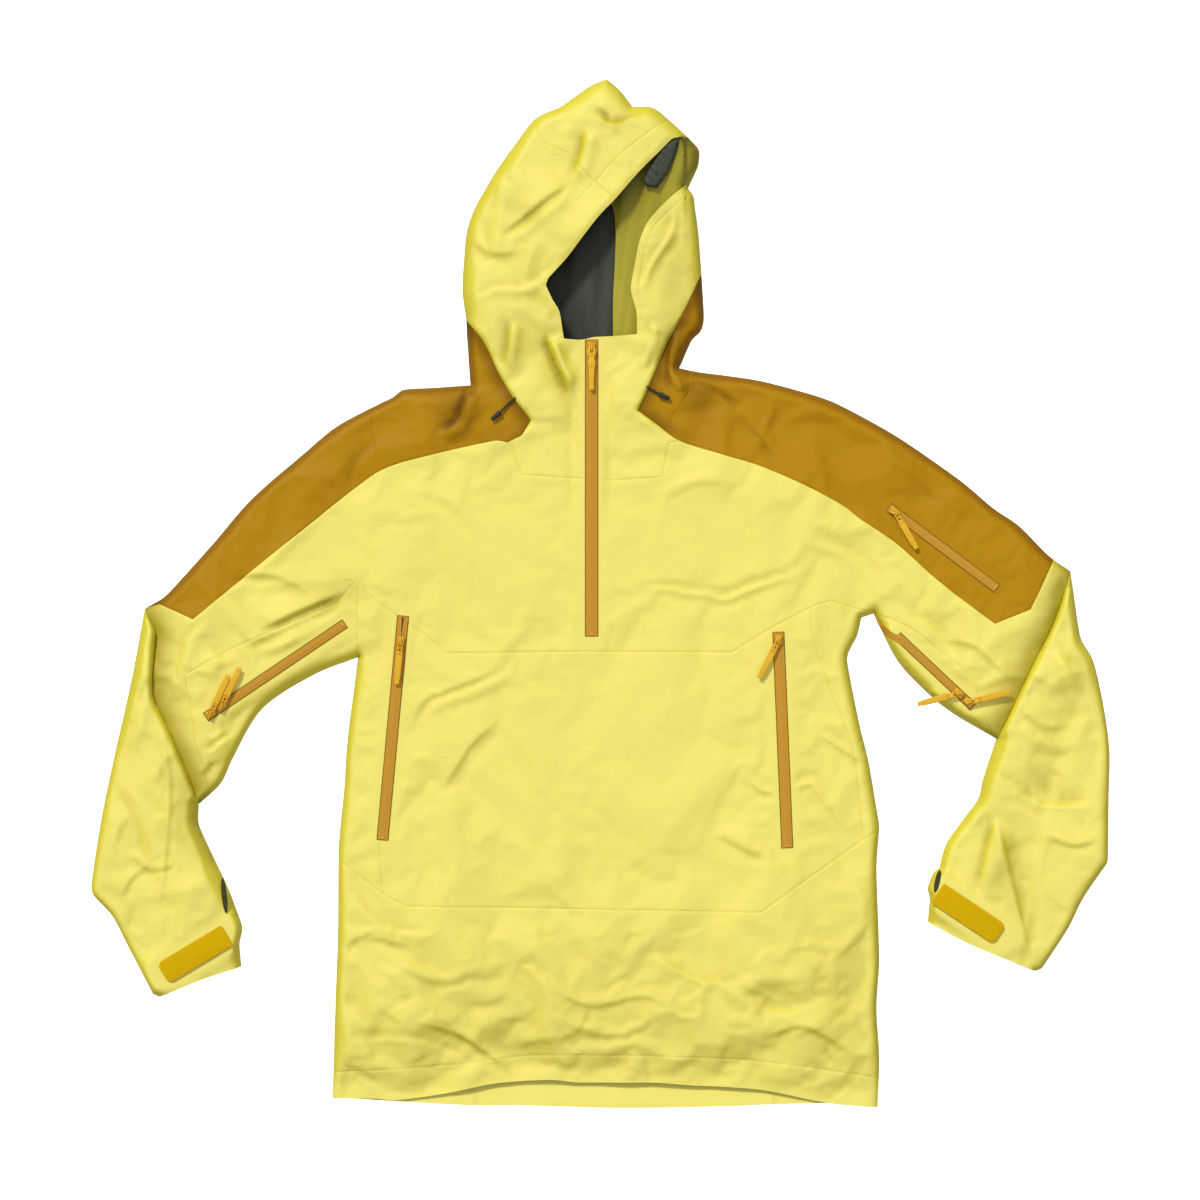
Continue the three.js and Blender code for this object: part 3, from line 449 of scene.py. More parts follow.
def raster(at, faces, height):
    """Heights at scattered points, spread flat over their triangles onto the map."""
    out = np.zeros_like(GX)
    for a, b, c in faces:
        A, B, C = at[a], at[b], at[c]
        lo = np.maximum(np.floor((np.minimum(np.minimum(A, B), C) + SPAN) / RASTER).astype(int), 0)
        hi = np.minimum(np.ceil((np.maximum(np.maximum(A, B), C) + SPAN) / RASTER).astype(int) + 1, cells)
        if (hi <= lo).any():
            continue
        x, y = GX[lo[1]:hi[1], lo[0]:hi[0]], GY[lo[1]:hi[1], lo[0]:hi[0]]
        area = (B[0] - A[0]) * (C[1] - A[1]) - (C[0] - A[0]) * (B[1] - A[1])
        if abs(area) < 1e-6:
            continue
        v = ((x - A[0]) * (C[1] - A[1]) - (C[0] - A[0]) * (y - A[1])) / area
        w = ((B[0] - A[0]) * (y - A[1]) - (x - A[0]) * (B[1] - A[1])) / area
        hit = (v >= -1e-6) & (w >= -1e-6) & (v + w <= 1 + 1e-6)
        values = height[a] * (1 - v - w) + height[b] * v + height[c] * w
        out[lo[1]:hi[1], lo[0]:hi[0]][hit] = values[hit]
    return out


def crumple(spacing, stretch=1.0, angle=0.0):
    """Creased facets: random heights joined by flat triangles, from -1 to 1."""
    n = int(SPAN * 1.25 / spacing)
    i, j = np.meshgrid(np.arange(-n, n + 1), np.arange(-n, n + 1))
    p = np.stack([i.ravel(), j.ravel()], 1) + rng.uniform(-0.42, 0.42, (i.size, 2))
    p = p * spacing * np.array([stretch, 1 / stretch])
    turn = math.radians(angle)
    p = p @ np.array([[math.cos(turn), math.sin(turn)], [-math.sin(turn), math.cos(turn)]])
    p = p[(np.abs(p) < SPAN + 3 * spacing * stretch).all(1)]
    height = rng.uniform(-1, 1, len(p))
    found = geometry.delaunay_2d_cdt([Vector(q) for q in p], [], [], 0, 1e-4, False)
    return raster(np.array([tuple(q) for q in found[0]]), found[2], height)


def near_line(points):
    """Distance from each cell to a polyline, the side it is on, and how far along it lies, 0 to 1."""
    p = smooth(points, 8, 60)
    lo, hi = p.min(0) - 70, p.max(0) + 70
    box = np.where((GX > lo[0]) & (GX < hi[0]) & (GY > lo[1]) & (GY < hi[1]))
    q = np.stack([GX[box], GY[box]], 1)
    a, d = p[:-1], np.diff(p, axis=0)
    size = np.maximum((d**2).sum(1), 1e-9)
    t = np.clip(((q[:, None] - a) * d).sum(2) / size, 0, 1)
    away = q[:, None] - a - t[..., None] * d
    far = (away**2).sum(2)
    k = far.argmin(1)
    rows = np.arange(len(q))
    side = np.sign(d[k, 0] * away[rows, k, 1] - d[k, 1] * away[rows, k, 0])
    return box, np.sqrt(far[rows, k]), side, (k + t[rows, k]) / len(a)


wrinkles = np.zeros_like(GX)


def fold(points, height, width, valley=0.5):
    """A soft ridge to the left of a line with a crisp valley along it; a negative height dents instead."""
    box, far, side, along = near_line(points)
    s = far * side / width
    ridge = np.exp(-((s - 1.0) / 0.75)**2) - valley * np.exp(-np.abs(s) / 0.28)
    ends = step_up(along, 0.0, 0.25) * step_up(1 - along, 0.0, 0.3)
    wrinkles[box] += height * ridge * ends


def crease(points, height, width):
    """A crisp step: the fabric stands up left of the line and drops right of it."""
    box, far, side, along = near_line(points)
    s = far * side
    ends = step_up(along, 0.0, 0.2) * step_up(1 - along, 0.0, 0.3)
    wrinkles[box] += height * np.tanh(s / 1.7) * np.exp(-far / width) * ends


def spot(x, y, rx, ry, angle=0.0):
    """A soft mask round a place."""
    c, s = math.cos(math.radians(angle)), math.sin(math.radians(angle))
    u, v = (GX - x) * c + (GY - y) * s, -(GX - x) * s + (GY - y) * c
    return np.exp(-((u / rx)**2 + (v / ry)**2))


broad = blur(crumple(95), 10)
medium = blur(crumple(46, 1.25, 35), 2.2)
medium_b = blur(crumple(38, 1.3, -40), 2.2)
facets = blur(crumple(78, 1.45, 78), 3)
hood_facets = blur(crumple(62, 1.3, 55), 2.5)
fine = blur(crumple(20, 1.2, 20), 2.2)
tiny = blur(crumple(12), 2.2)
sleeves = step_up(np.abs(GX), 300, 345) * step_up(-GY, -60, 60)
forearms = step_up(np.abs(GX), 380, 430) * step_up(-GY, 90, 150)
lower_body = step_up(-GY, 330, 420) * step_up(330 - np.abs(GX), 0, 40)
belly_low = step_up(-GY, 80, 330) * step_up(330 - np.abs(GX), 0, 40)
hood_zone = step_up(GY, 270, 330)
yokes = step_up(GY, 60, 130) * (1 - hood_zone)
calm = spot(0, 60, 210, 90)
chest_calm = np.maximum(calm, 0.8 * spot(0, -150, 190, 170))
wrinkles += 1.5 * broad * (0.9 + 1.6 * sleeves + 0.9 * hood_zone + 0.7 * yokes) * (1 - 0.6 * calm)
wrinkles += 4.6 * facets * forearms + 2.4 * hood_facets * hood_zone
share = 0.35 + 1.1 * sleeves - 0.3 * forearms + 0.55 * belly_low + 1.1 * lower_body
share = share + 0.7 * hood_zone + 1.0 * yokes
wrinkles += 1.7 * medium * share * (1 - 0.7 * calm)
share = 0.25 + 0.9 * sleeves + 0.4 * belly_low + 0.8 * lower_body
share = share + 0.4 * hood_zone + 0.3 * yokes
wrinkles += 1.7 * medium_b * share
share = 0.1 + 0.3 * sleeves + 0.16 * belly_low + 0.5 * lower_body
share = share + 0.2 * hood_zone + 0.15 * yokes
wrinkles += 1.9 * fine * share
wrinkles += tiny * (0.04 + 0.08 * sleeves + 0.1 * lower_body)

folds = [
    ([(-17, 525), (-22, 494), (-33, 462)], 3.2, 10),
    ([(-33, 462), (-63, 438), (-89, 417), (-115, 398)], 3.6, 11),
    ([(-99, 310), (-104, 278), (-108, 245)], 2.4, 8),
    ([(83, 438), (78, 403), (55, 366), (46, 335)], -2.6, 8),
    ([(56, 305), (54, 284), (52, 258)], 3.0, 7), ([(-62, 289), (-50, 258), (-33, 222)], 6.5, 8),
    ([(-40, 262), (-30, 240), (-24, 200)], 1.6, 7), ([(-146, 236), (-161, 197), (-182, 178)], 3.2, 9),
    ([(88, 300), (76, 269), (82, 223), (94, 216)], 3.4, 9),
    ([(108, 238), (134, 223), (160, 207)], 2.2, 9), ([(175, 200), (186, 158)], 1.4, 8),
    ([(180, 155), (204, 216)], 1.4, 8), ([(55, 6), (89, 1), (122, -3)], -1.3, 7),
    ([(111, 4), (138, -8), (169, 3), (216, 19)], -1.5, 8),
    ([(-100, -80), (-143, -99), (-193, -120), (-215, -155)], 1.5, 10),
    ([(-110, -138), (-143, -169), (-178, -222)], -1.5, 10),
    ([(160, -200), (186, -223), (239, -213), (260, -248)], -1.8, 9),
    ([(125, -268), (162, -287), (195, -303)], 1.4, 9),
    ([(244, -154), (290, -186), (303, -187)], -1.8, 8),
    ([(-280, 6), (-325, -14), (-384, -42)], -2.6, 9), ([(-278, -4), (-330, -40), (-395, -62)], 1.8, 8),
    ([(-282, 14), (-340, 14), (-400, 4)], -1.5, 10), ([(-430, -170), (-417, -155)], 2.6, 6),
    ([(-496, -150), (-487, -220), (-491, -287), (-498, -352)], 2.6, 12),
    ([(-470, -210), (-452, -280), (-436, -340)], -2.2, 12),
    ([(-545, -210), (-520, -260), (-500, -340)], 2.0, 12),
    ([(444, -249), (431, -293), (422, -340)], 3.0, 14),
    ([(446, -245), (468, -343), (484, -415)], -2.8, 13),
    ([(455, -150), (500, -180), (545, -176)], 2.0, 11),
    ([(470, -200), (510, -236), (560, -240)], -2.0, 11),
    ([(500, -60), (520, -110), (545, -150)], 2.0, 10), ([(380, -60), (350, -50), (322, -28)], 2.0, 8),
    ([(330, -20), (372, -40), (420, -90)], -1.6, 9), ([(-110, 470), (-125, 420), (-128, 360)], 2.6, 12),
    ([(-70, 400), (-84, 350), (-80, 310)], -2.2, 11), ([(-20, 540), (20, 520), (60, 500)], -1.4, 9),
    ([(-440, -20), (-470, -60), (-480, -110)], 1.8, 10),
    ([(-505, -90), (-520, -130), (-530, -180)], 1.6, 9),
    ([(-60, -480), (20, -500), (80, -470)], 1.4, 8), ([(120, -430), (200, -470), (270, -450)], -1.6, 9),
    ([(-260, -400), (-180, -440), (-120, -420)], 1.5, 9),
    ([(-290, -500), (-200, -505), (-130, -540)], -1.6, 8),
    ([(-40, 380), (-75, 352), (-100, 345)], 1.5, 8), ([(70, 100), (110, 120), (150, 118)], 1.0, 9),
    ([(-130, 60), (-160, 100), (-200, 120)], -1.0, 10), ([(230, 60), (280, 40), (320, 0)], -1.2, 10),
    ([(-330, 90), (-380, 40), (-430, 0)], 1.3, 9), ([(300, 160), (360, 120), (420, 70)], 1.2, 10),
]
for points, height, width in folds:
    fold(points, height, width)
creases = [
    ([(-61, 292), (-52, 264), (-40, 236), (-30, 214)], 4.2, 13),
    ([(54, 300), (58, 275), (50, 246)], -2.2, 12),
    ([(-33, 459), (-63, 438), (-89, 417), (-113, 399)], -3.2, 14),
    ([(-17, 520), (-22, 494), (-33, 462)], 3.0, 12), ([(-2, 538), (18, 527), (46, 540)], -3.0, 10),
    ([(-6, 548), (10, 534), (14, 512)], 2.4, 9), ([(-98, 308), (-104, 278), (-109, 248)], 2.6, 11),
    ([(84, 434), (78, 403), (55, 366), (45, 338)], 2.6, 12),
    ([(-146, 238), (-161, 197), (-184, 176)], 3.6, 12),
    ([(88, 300), (76, 269), (81, 226), (96, 214)], 3.8, 12),
    ([(106, 238), (134, 223), (160, 206)], -1.8, 10), ([(-384, -42), (-325, -14), (-280, 4)], 3.0, 12),
    ([(-400, -60), (-340, -34), (-285, -8)], 2.0, 10),
    ([(-440, -178), (-425, -164), (-410, -156)], -3.4, 11),
    ([(-446, -205), (-436, -190), (-420, -186)], 2.4, 9),
    ([(-488, -150), (-480, -220), (-486, -300), (-492, -360)], -2.4, 20),
    ([(-530, -290), (-500, -310), (-470, -300)], 1.6, 14),
    ([(444, -246), (431, -293), (422, -340)], 2.6, 18),
    ([(444, -246), (462, -320), (484, -412)], -2.8, 18),
    ([(470, -222), (505, -236), (552, -232)], -2.0, 14),
    ([(500, -270), (530, -282), (562, -276)], 2.2, 9),
    ([(470, -130), (500, -150), (530, -148)], 1.8, 14), ([(-320, 0), (-370, 20), (-420, 16)], -1.4, 14),
    ([(380, -50), (420, -60), (462, -98)], 1.6, 12),
    ([(-213, -152), (-193, -120), (-143, -99), (-104, -83)], 1.3, 14),
    ([(-176, -220), (-143, -169), (-112, -140)], 1.2, 12),
    ([(160, -202), (186, -223), (239, -213), (258, -248)], 1.6, 12),
    ([(125, -268), (162, -287), (193, -302)], 1.2, 12),
    ([(244, -156), (290, -186), (303, -187)], 1.6, 10),
    ([(111, 2), (138, -8), (169, 3), (214, 18)], 1.1, 10), ([(60, 6), (89, 1), (120, -3)], 1.0, 9),
    ([(-60, -440), (-10, -462), (50, -452), (90, -470)], 1.6, 16),
    ([(-200, -480), (-150, -500), (-90, -545)], 2.0, 18),
    ([(60, -400), (110, -430), (180, -436)], -1.5, 16),
    ([(180, -500), (230, -486), (290, -520)], 1.7, 14),
    ([(-280, -330), (-240, -372), (-180, -380)], -1.4, 14),
    ([(-240, 180), (-270, 150), (-278, 120)], 1.4, 10), ([(150, 210), (186, 168), (204, 140)], 1.5, 10),
    ([(-150, 400), (-120, 380), (-84, 384)], 1.6, 11),
    ([(-140, 330), (-110, 345), (-70, 340)], -1.4, 10),
]
for points, height, width in creases:
    crease(points, height, width)
for _ in range(190):  # short crisp creases above the hem and on the sleeves
    where = rng.random()
    if where < 0.5:
        x, y, lean = rng.uniform(-285, 295), rng.uniform(-545, -370), rng.normal(10, 40)
    elif where < 0.75:
        x, y, lean = rng.uniform(-545, -420), rng.uniform(-420, -60), rng.normal(75, 35)
    else:
        x, y, lean = rng.uniform(400, 560), rng.uniform(-400, -60), rng.normal(115, 35)
    long, a = rng.uniform(18, 55), math.radians(lean)
    bend = rng.normal(0, 6)
    ax, ay = math.cos(a) * long / 2, math.sin(a) * long / 2
    crease([(x - ax, y - ay), (x - bend * math.sin(a), y + bend * math.cos(a)), (x + ax, y + ay)],
           rng.uniform(0.35, 1.1) * rng.choice((-1, 1)), rng.uniform(5, 12))


def sample(field, points):
    u = np.clip((points + SPAN) / RASTER, 0, cells - 1.001)
    i, j = u[:, 0].astype(int), u[:, 1].astype(int)
    s, t = u[:, 0] - i, u[:, 1] - j
    return (field[j, i] * (1 - s) * (1 - t) + field[j, i + 1] * s * (1 - t) + field[j + 1, i] * (1 - s) * t
            + field[j + 1, i + 1] * s * t)


# ---------- Fabric ----------
def deselect():
    bpy.ops.object.select_all(action="DESELECT")


def only(obj):
    deselect()
    bpy.context.view_layer.objects.active = obj
    obj.select_set(True)


def triangulate(outline, cuts, step, quiet=()):
    """Points and triangles that fill an outline, with each cut kept as a line of edges between them.
    Quiet cuts part two pieces without a sunk line."""
    lo, hi = outline.min(0), outline.max(0)
    xs = np.arange(lo[0], hi[0], step)
    ys = np.arange(lo[1], hi[1], step * 0.866)
    x, y = np.meshgrid(xs, ys)
    x[1::2] += step / 2
    grid = np.stack([x.ravel(), y.ravel()], 1)
    grid = grid[inside(grid, outline)]
    grid = grid[far_from(grid, outline, True) > 0.55 * step]
    rows = []
    for cut in cuts:
        grid = grid[far_from(grid, cut) > 0.5 * step + SEAM_ROW * 0.5]
        rows += [offset(cut, SEAM_ROW), offset(cut, -SEAM_ROW)]
    if rows:
        rows = np.vstack(rows)
        rows = rows[inside(rows, outline)]
        rows = rows[far_from(rows, outline, True) > 1.0]
        near = np.min([far_from(rows, cut) for cut in cuts], axis=0)
        rows = rows[near > SEAM_ROW * 0.8]
        grid = np.vstack([grid, rows])
    verts, edges, kinds = [], [], []
    for line, closed in [(outline, True)] + [(cut, False) for cut in cuts]:
        first = len(verts)
        verts += [Vector(p) for p in line]
        edges += [(first + i, first + i + 1) for i in range(len(line) - 1)]
        kinds += [closed] * (len(line) - 1)
        if closed:
            edges.append((len(verts) - 1, first))
            kinds.append(True)
    verts += [Vector(p) for p in grid]
    at, out_edges, faces, _, from_edges, _ = geometry.delaunay_2d_cdt(verts, edges, [], 0, 1e-3, True)
    at = np.array([tuple(p) for p in at])
    faces = np.array(faces)
    faces = faces[inside(at[faces].mean(1), outline)]
    a, b, c = at[faces[:, 0]], at[faces[:, 1]], at[faces[:, 2]]
    area = (b[:, 0] - a[:, 0]) * (c[:, 1] - a[:, 1]) - (c[:, 0] - a[:, 0]) * (b[:, 1] - a[:, 1])
    faces[area < 0] = faces[area < 0][:, ::-1]
    faces = faces[np.abs(area) > 1e-4]
    barriers = {tuple(sorted(e)) for e, f in zip(out_edges, from_edges) if f}
    on_cut = np.zeros(len(at), bool)
    for e, f in zip(out_edges, from_edges):
        if f and not all(kinds[k] for k in f):
            on_cut[list(e)] = True
    for line in quiet:
        on_cut[far_from(at, line) < 0.2] = False
    return at, faces, barriers, on_cut


def split(at, faces, barriers, seeds):
    """The triangles of each panel: those its seed points reach without crossing a cut."""
    beside = {}
    for i, (a, b, c) in enumerate(faces.tolist()):
        for e in ((a, b), (b, c), (c, a)):
            e = (e[0], e[1]) if e[0] < e[1] else (e[1], e[0])
            beside.setdefault(e, []).append(i)
    near = [[] for _ in faces]
    for e, pair in beside.items():
        if len(pair) == 2 and e not in barriers:
            near[pair[0]].append(pair[1])
            near[pair[1]].append(pair[0])
    middles = at[faces].mean(1)
    label = np.full(len(faces), -1)
    names = list(seeds)
    for k, name in enumerate(names):
        for seed in seeds[name]:
            todo = [int(((middles - seed)**2).sum(1).argmin())]
            while todo:
                f = todo.pop()
                if label[f] < 0:
                    label[f] = k
                    todo += [g for g in near[f] if label[g] < 0]
    for _ in range(60):  # slivers that no seed reaches join their neighbour
        loose = np.where(label < 0)[0]
        if not len(loose):
            break
        for f in loose:
            a, b, c = faces[f].tolist()
            for e in ((a, b), (b, c), (c, a)):
                for g in beside[(min(e), max(e))]:
                    if label[g] >= 0:
                        label[f] = label[g]
    return {name: faces[label == k] for k, name in enumerate(names)}


def cloth_piece(name, at, faces, height, material, slot, nodes=(), painted_shade=None):
    used, tris = np.unique(faces, return_inverse=True)
    tris = tris.reshape(-1, 3)
    p = at[used]
    z = height[used]
    mesh = bpy.data.meshes.new(name)
    co = np.column_stack([p, z]) * MM
    mesh.from_pydata(co.tolist(), [], tris.tolist())
    uv = mesh.uv_layers.new(name="flat")
    loops = np.zeros(len(mesh.loops), np.int32)
    mesh.loops.foreach_get("vertex_index", loops)
    uv.data.foreach_set("uv", (p[loops] * MM).astype(np.float32).ravel())
    # painted shade for the material, one value per point
    if painted_shade is not None:
        depth = mesh.attributes.new("painted_shade", "FLOAT", "POINT")
        depth.data.foreach_set("value", painted_shade[used].astype(np.float32))
    mesh.materials.append(material)
    obj = bpy.data.objects.new(name, mesh)
    scene.collection.objects.link(obj)
    only(obj)
    solid = obj.modifiers.new("thickness", "SOLIDIFY")
    solid.thickness, solid.offset, solid.use_even_offset = CLOTH * MM, -1, False
    bpy.ops.object.modifier_apply(modifier="thickness")
    bpy.ops.object.shade_smooth_by_angle(angle=math.radians(70))
    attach(obj, "shell")
    if nodes:
        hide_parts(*nodes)
    return obj



def edge_distance(points):
    return np.min([far_from(points, e) for e in closed_edges], axis=0)


rim_line = smooth(rim_left)
hem_line = smooth(front_hem)
cuffs = [smooth(left_cuff), smooth(right_cuff)]


def front_height(p):
    """Height of the outer fabric over the floor, in millimetres."""
    x, y = p[:, 0], p[:, 1]
    edge = edge_distance(p)
    hood = step_up(y, 258, 330) * step_up(190 - np.abs(x), 0, 30)
    loft = BODY_TOP + 6.0 * hood
    rim = far_from(p, rim_line)
    on_hood = step_up(y, 300, 350)
    loft = loft + 7.0 * np.exp(-(rim / 60)**2) * on_hood * (x < 95)
    hem = far_from(p, hem_line)
    loft = loft - 12.0 * (1 - step_up(hem, 0, 90))
    cuff = np.min([far_from(p, c) for c in cuffs], axis=0)
    loft = loft - 2.0 * (1 - step_up(cuff, 0, 30))
    near_edge = 0.25 + 0.75 * step_up(edge, 0, 18)
    near_hem = 0.55 + 0.45 * step_up(hem, 0, 20)
    folds_here = sample(wrinkles, p) * near_edge * near_hem
    flat = flatness(p)
    top = (loft + folds_here) * (1 - flat) + BODY_TOP * flat
    roll = 15 + 6 * hood
    wave = 0.82 + 0.18 * np.sin(x * 0.021 + y * 0.017) * np.cos(y * 0.031)
    crown = 0.36 * (1 - flat)
    side = (1 - crown) * rolled(edge, roll * wave * (1 - 0.35 * flat)) + crown * rolled(edge, 3.4 * roll)
    top = EDGE_Z + (top - EDGE_Z) * side
    top = top - 1.6 * np.exp(-(rim / 3.0)**2) * on_hood * (x < 92)
    return top


quiet_seams = [seams[name] for name in ("right_neck", "left_neck", "zip_middle", "collar_middle")]


def flatness(p):
    """1 where a zip, tab or cord keeps the fabric flat, fading to 0 beside it."""
    flat = np.zeros(len(p))
    for (a, b, half) in zip_lines + flat_spots:
        away = far_from(p, np.array([a, b], float))
        flat = np.maximum(flat, 1 - step_up(away, half, half + 14))
    return flat


def buckled():
    """How the front rises as one oversized sheet, held at its edges and zips, buckles."""
    a, f, _, _ = triangulate(front_outline, [], SIM_CELL)
    start = front_height(a)
    mesh = bpy.data.meshes.new("buckling")
    mesh.from_pydata((np.column_stack([a, start]) * MM).tolist(), [], f.tolist())
    obj = bpy.data.objects.new("buckling", mesh)
    scene.collection.objects.link(obj)
    held = np.maximum(1 - step_up(far_from(a, front_outline, True), 3, 9), flatness(a) > 0.5)
    pins = obj.vertex_groups.new(name="held")
    for i in np.where(held > 0.05)[0].tolist():
        pins.add([i], float(min(1, held[i])), "REPLACE")
    cloth = obj.modifiers.new("cloth", "CLOTH")
    cloth.point_cache.frame_start, cloth.point_cache.frame_end = 1, SIM_FRAMES
    rules = cloth.settings
    rules.quality, rules.mass, rules.air_damping = 6, 0.15, 2.0
    rules.tension_stiffness = rules.compression_stiffness = 18
    rules.shear_stiffness, rules.bending_stiffness = 8, 0.25
    rules.shrink_min = rules.shrink_max = -SIM_GROWTH
    rules.vertex_group_mass = "held"
    rules.effector_weights.gravity = 0
    cloth.collision_settings.use_collision = cloth.collision_settings.use_self_collision = False
    for step in range(1, SIM_FRAMES + 1):
        scene.frame_set(step)
    settled_mesh = obj.evaluated_get(bpy.context.evaluated_depsgraph_get()).to_mesh()
    co = np.zeros(len(a) * 3)
    settled_mesh.vertices.foreach_get("co", co)
    rise = co.reshape(-1, 3)[:, 2] / MM - start
    obj.modifiers.clear()
    bpy.data.objects.remove(obj)
    scene.frame_set(1)
    rise = raster(a, f.tolist(), rise)
    return np.clip(rise - blur(rise, 40), -4, 4)


wrinkles += buckled() * (0.55 - 0.3 * forearms) * (1 - 0.75 * chest_calm)
# painted shade: darker where the wrinkles dip below their blurred surroundings, less on the chest
painted_shade_map = np.clip((blur(wrinkles, 7) - wrinkles - 0.45) / 3.0, 0, 0.8) * (1 - 0.7 * chest_calm)
# painted shade patches: x, y, the two radii, the turn and how dark
painted_shade_patches = [(82, 350, 16, 58, -4, 0.4), (-46, 240, 10, 36, 22, 0.35), (-300, 0, 34, 16, 20, 0.4),
             (-462, -240, 60, 18, -72, 0.35), (112, 222, 20, 24, 0, 0.45), (-160, 205, 22, 20, 0, 0.45),
             (-84, 428, 42, 12, -32, 0.3), (12, 528, 26, 8, 10, 0.35), (462, -330, 22, 60, 8, 0.25),
             (-104, 285, 8, 30, 10, 0.35), (-10, -460, 300, 80, 0, 0.16), (265, -420, 40, 120, 0, 0.15)]
for x, y, rx, ry, angle, depth in painted_shade_patches:  # painted shade on places that lie lower than their surroundings
    painted_shade_map = np.maximum(painted_shade_map, np.minimum(1, painted_shade_map + depth * spot(x, y, rx, ry, angle)))
at, faces, barriers, on_cut = triangulate(front_outline, list(seams.values()), CLOTH_STEP, quiet_seams)
panels = split(at, faces, barriers, panel_seeds)
top = front_height(at)
top[on_cut] -= SEAM_SINK
elbows = {"right_forearm": seams["right_elbow"], "left_forearm": seams["left_elbow"]}
overlaps = {"right_collar": "right_yoke", "right_hood_side": "right_yoke", "left_collar": "left_yoke",
            "left_hood_strip": "left_yoke"}
panel_nodes = {
    "right_yoke": ["right_yoke"], "left_yoke": ["left_yoke"], "right_collar": ["right_collar"],
    "left_collar": ["left_collar"], "chest": ["right_chest", "left_chest"],
    "right_underarm": ["right_underarm"],
    "left_underarm": ["left_underarm"], "belly": ["belly"], "hem_panel": ["front_hem_panel"],
    "right_side_panel": ["right_side_panel"], "left_side_panel": ["left_side_panel"],
    "right_forearm": ["right_forearm", "right_sleeve_outer_edge"],
    "left_forearm": ["left_forearm", "left_sleeve_outer_edge"],
    "right_hood_side": ["right_hood_side", "right_hood_edge"], "hood_crown": ["hood_crown"],
    "hood_brim": ["hood_brim"], "left_hood_strip": ["left_hood_side", "left_hood_edge"],
}
inland = step_up(edge_distance(at), 0, 12)
elbow_sink = 6.0 * np.exp(-np.min([far_from(at, line) for line in elbows.values()], axis=0) / 13)
clear = np.min([far_from(at, np.array([a, b], float)) for a, b, _ in zip_lines], axis=0)
beside_zip = step_up(clear, 8, 26)
elbow_sink = elbow_sink * inland * beside_zip
# painted shade for each point, less where zips and tabs keep the fabric flat
crease_shade = sample(painted_shade_map, at) * (1 - 0.8 * flatness(at))
from_elbows = np.min([far_from(at, line) for line in elbows.values()], axis=0)
# painted shade on the upper arm beside the elbow fold
elbow_shade = 0.95 * np.exp(-(from_elbows / 20)**2) * beside_zip
for name, tris in panels.items():
    brown = name.endswith("yoke")
    z = top - elbow_sink
    # painted shade: crease shade everywhere, and the elbow shade on all but the forearms
    painted_shade = crease_shade.copy() if name in elbows else np.maximum(crease_shade, elbow_shade)
    if brown:  # shade under the edge of the hood
        under = far_from(at, seams[name]) / 11
        painted_shade = np.maximum(painted_shade, 0.7 * np.exp(-under**2) * step_up(at[:, 1], 165, 190))
    if name in elbows:  # the forearm is folded back over the upper arm
        away = far_from(at, elbows[name])
        z = z + (5.0 + elbow_sink) * rolled(away, 5.0) * (1 - step_up(away, 25, 80)) * inland
    if name in overlaps:  # the hood lies over the yoke
        away = far_from(at, seams[overlaps[name]])
        reach = step_up(at[:, 1], 172, 205) * (1 - step_up(at[:, 1], 270, 330))
        z = z + 4.6 * rolled(away, 6.0) * (1 - step_up(away, 22, 60)) * reach * beside_zip
    look = (OCHRE, "yoke_ochre") if brown else (YELLOW, "shell_yellow")
    cloth_piece(name + "_fabric", at, tris, z, *look, panel_nodes[name], painted_shade)


# ---------- Back ----------
back_outline = joined(*[smooth(e) for e in (strip_outer, left_shoulder, left_outer, left_cuff,
                                            left_inner, left_under, left_side, back_hem, right_side,
                                            right_under, right_inner, right_cuff, right_outer,
                                            right_shoulder, hood_right, hood_left, brim_end)])
back_cuts = [smooth(line, corner=24) for line in (
    [(-318, 260), (-293, 110), (-272, -78)], [(330, 230), (304, 110), (307, -22), (312, -10)],
    [(-293, 110), (304, 110)], [(-144, -590), (-144, -500)], [(192, -590), (192, -500)],
    [(-160, 262), (104, 262)], [(-272, -71), (-270, -90)])]
b_at, b_faces, b_barriers, b_cut = triangulate(back_outline, back_cuts, 9.0)
back_panels = split(b_at, b_faces, b_barriers, {
    "back_yoke": [(0, 180)], "back_body": [(0, -200)], "right_sleeve_back": [(-420, -100)],
    "left_sleeve_back": [(430, -60)], "hood_back": [(0, 420)]})
edge = edge_distance(b_at)
ripple = 0.5 * np.clip(sample(wrinkles, b_at), 0, 2) * step_up(edge, 4, 20)
b_z = 1.6 + (EDGE_Z - 2.2) * (1 - rolled(edge, 14)) + ripple
b_z += 5.5 * np.exp(-(far_from(b_at, smooth(back_hem)) / 30)**2) * step_up(290 - np.abs(b_at[:, 0]), 0, 60)
b_z[b_cut] += 0.5
for name, tris in back_panels.items():
    brown = name == "back_yoke"
    nodes = {"right_sleeve_back": ["right_sleeve_back", "right_sleeve_inner_edge"],
             "left_sleeve_back": ["left_sleeve_back", "left_sleeve_inner_edge"]}.get(name, [name])
    look = (OCHRE, "yoke_ochre") if brown else (YELLOW, "shell_yellow")
    cloth_piece(name + "_fabric", b_at, tris, b_z, *look, nodes)


# ---------- Inside of the hood ----------
def layer(name, outline, cuts, height, material, slot, nodes=(), step=None, shade=0.0):
    edge = joined(smooth(outline + outline[:1]))
    a, f, _, cut = triangulate(edge, [smooth(c) for c in cuts], step or CLOTH_STEP)
    z = height(a)
    z[cut] -= SEAM_SINK
    # painted shade, darkest along the hood's rim and fading away from it
    return cloth_piece(name, a, f, z, material, slot, nodes, shade * np.exp(-far_from(a, rim_line) / 22))


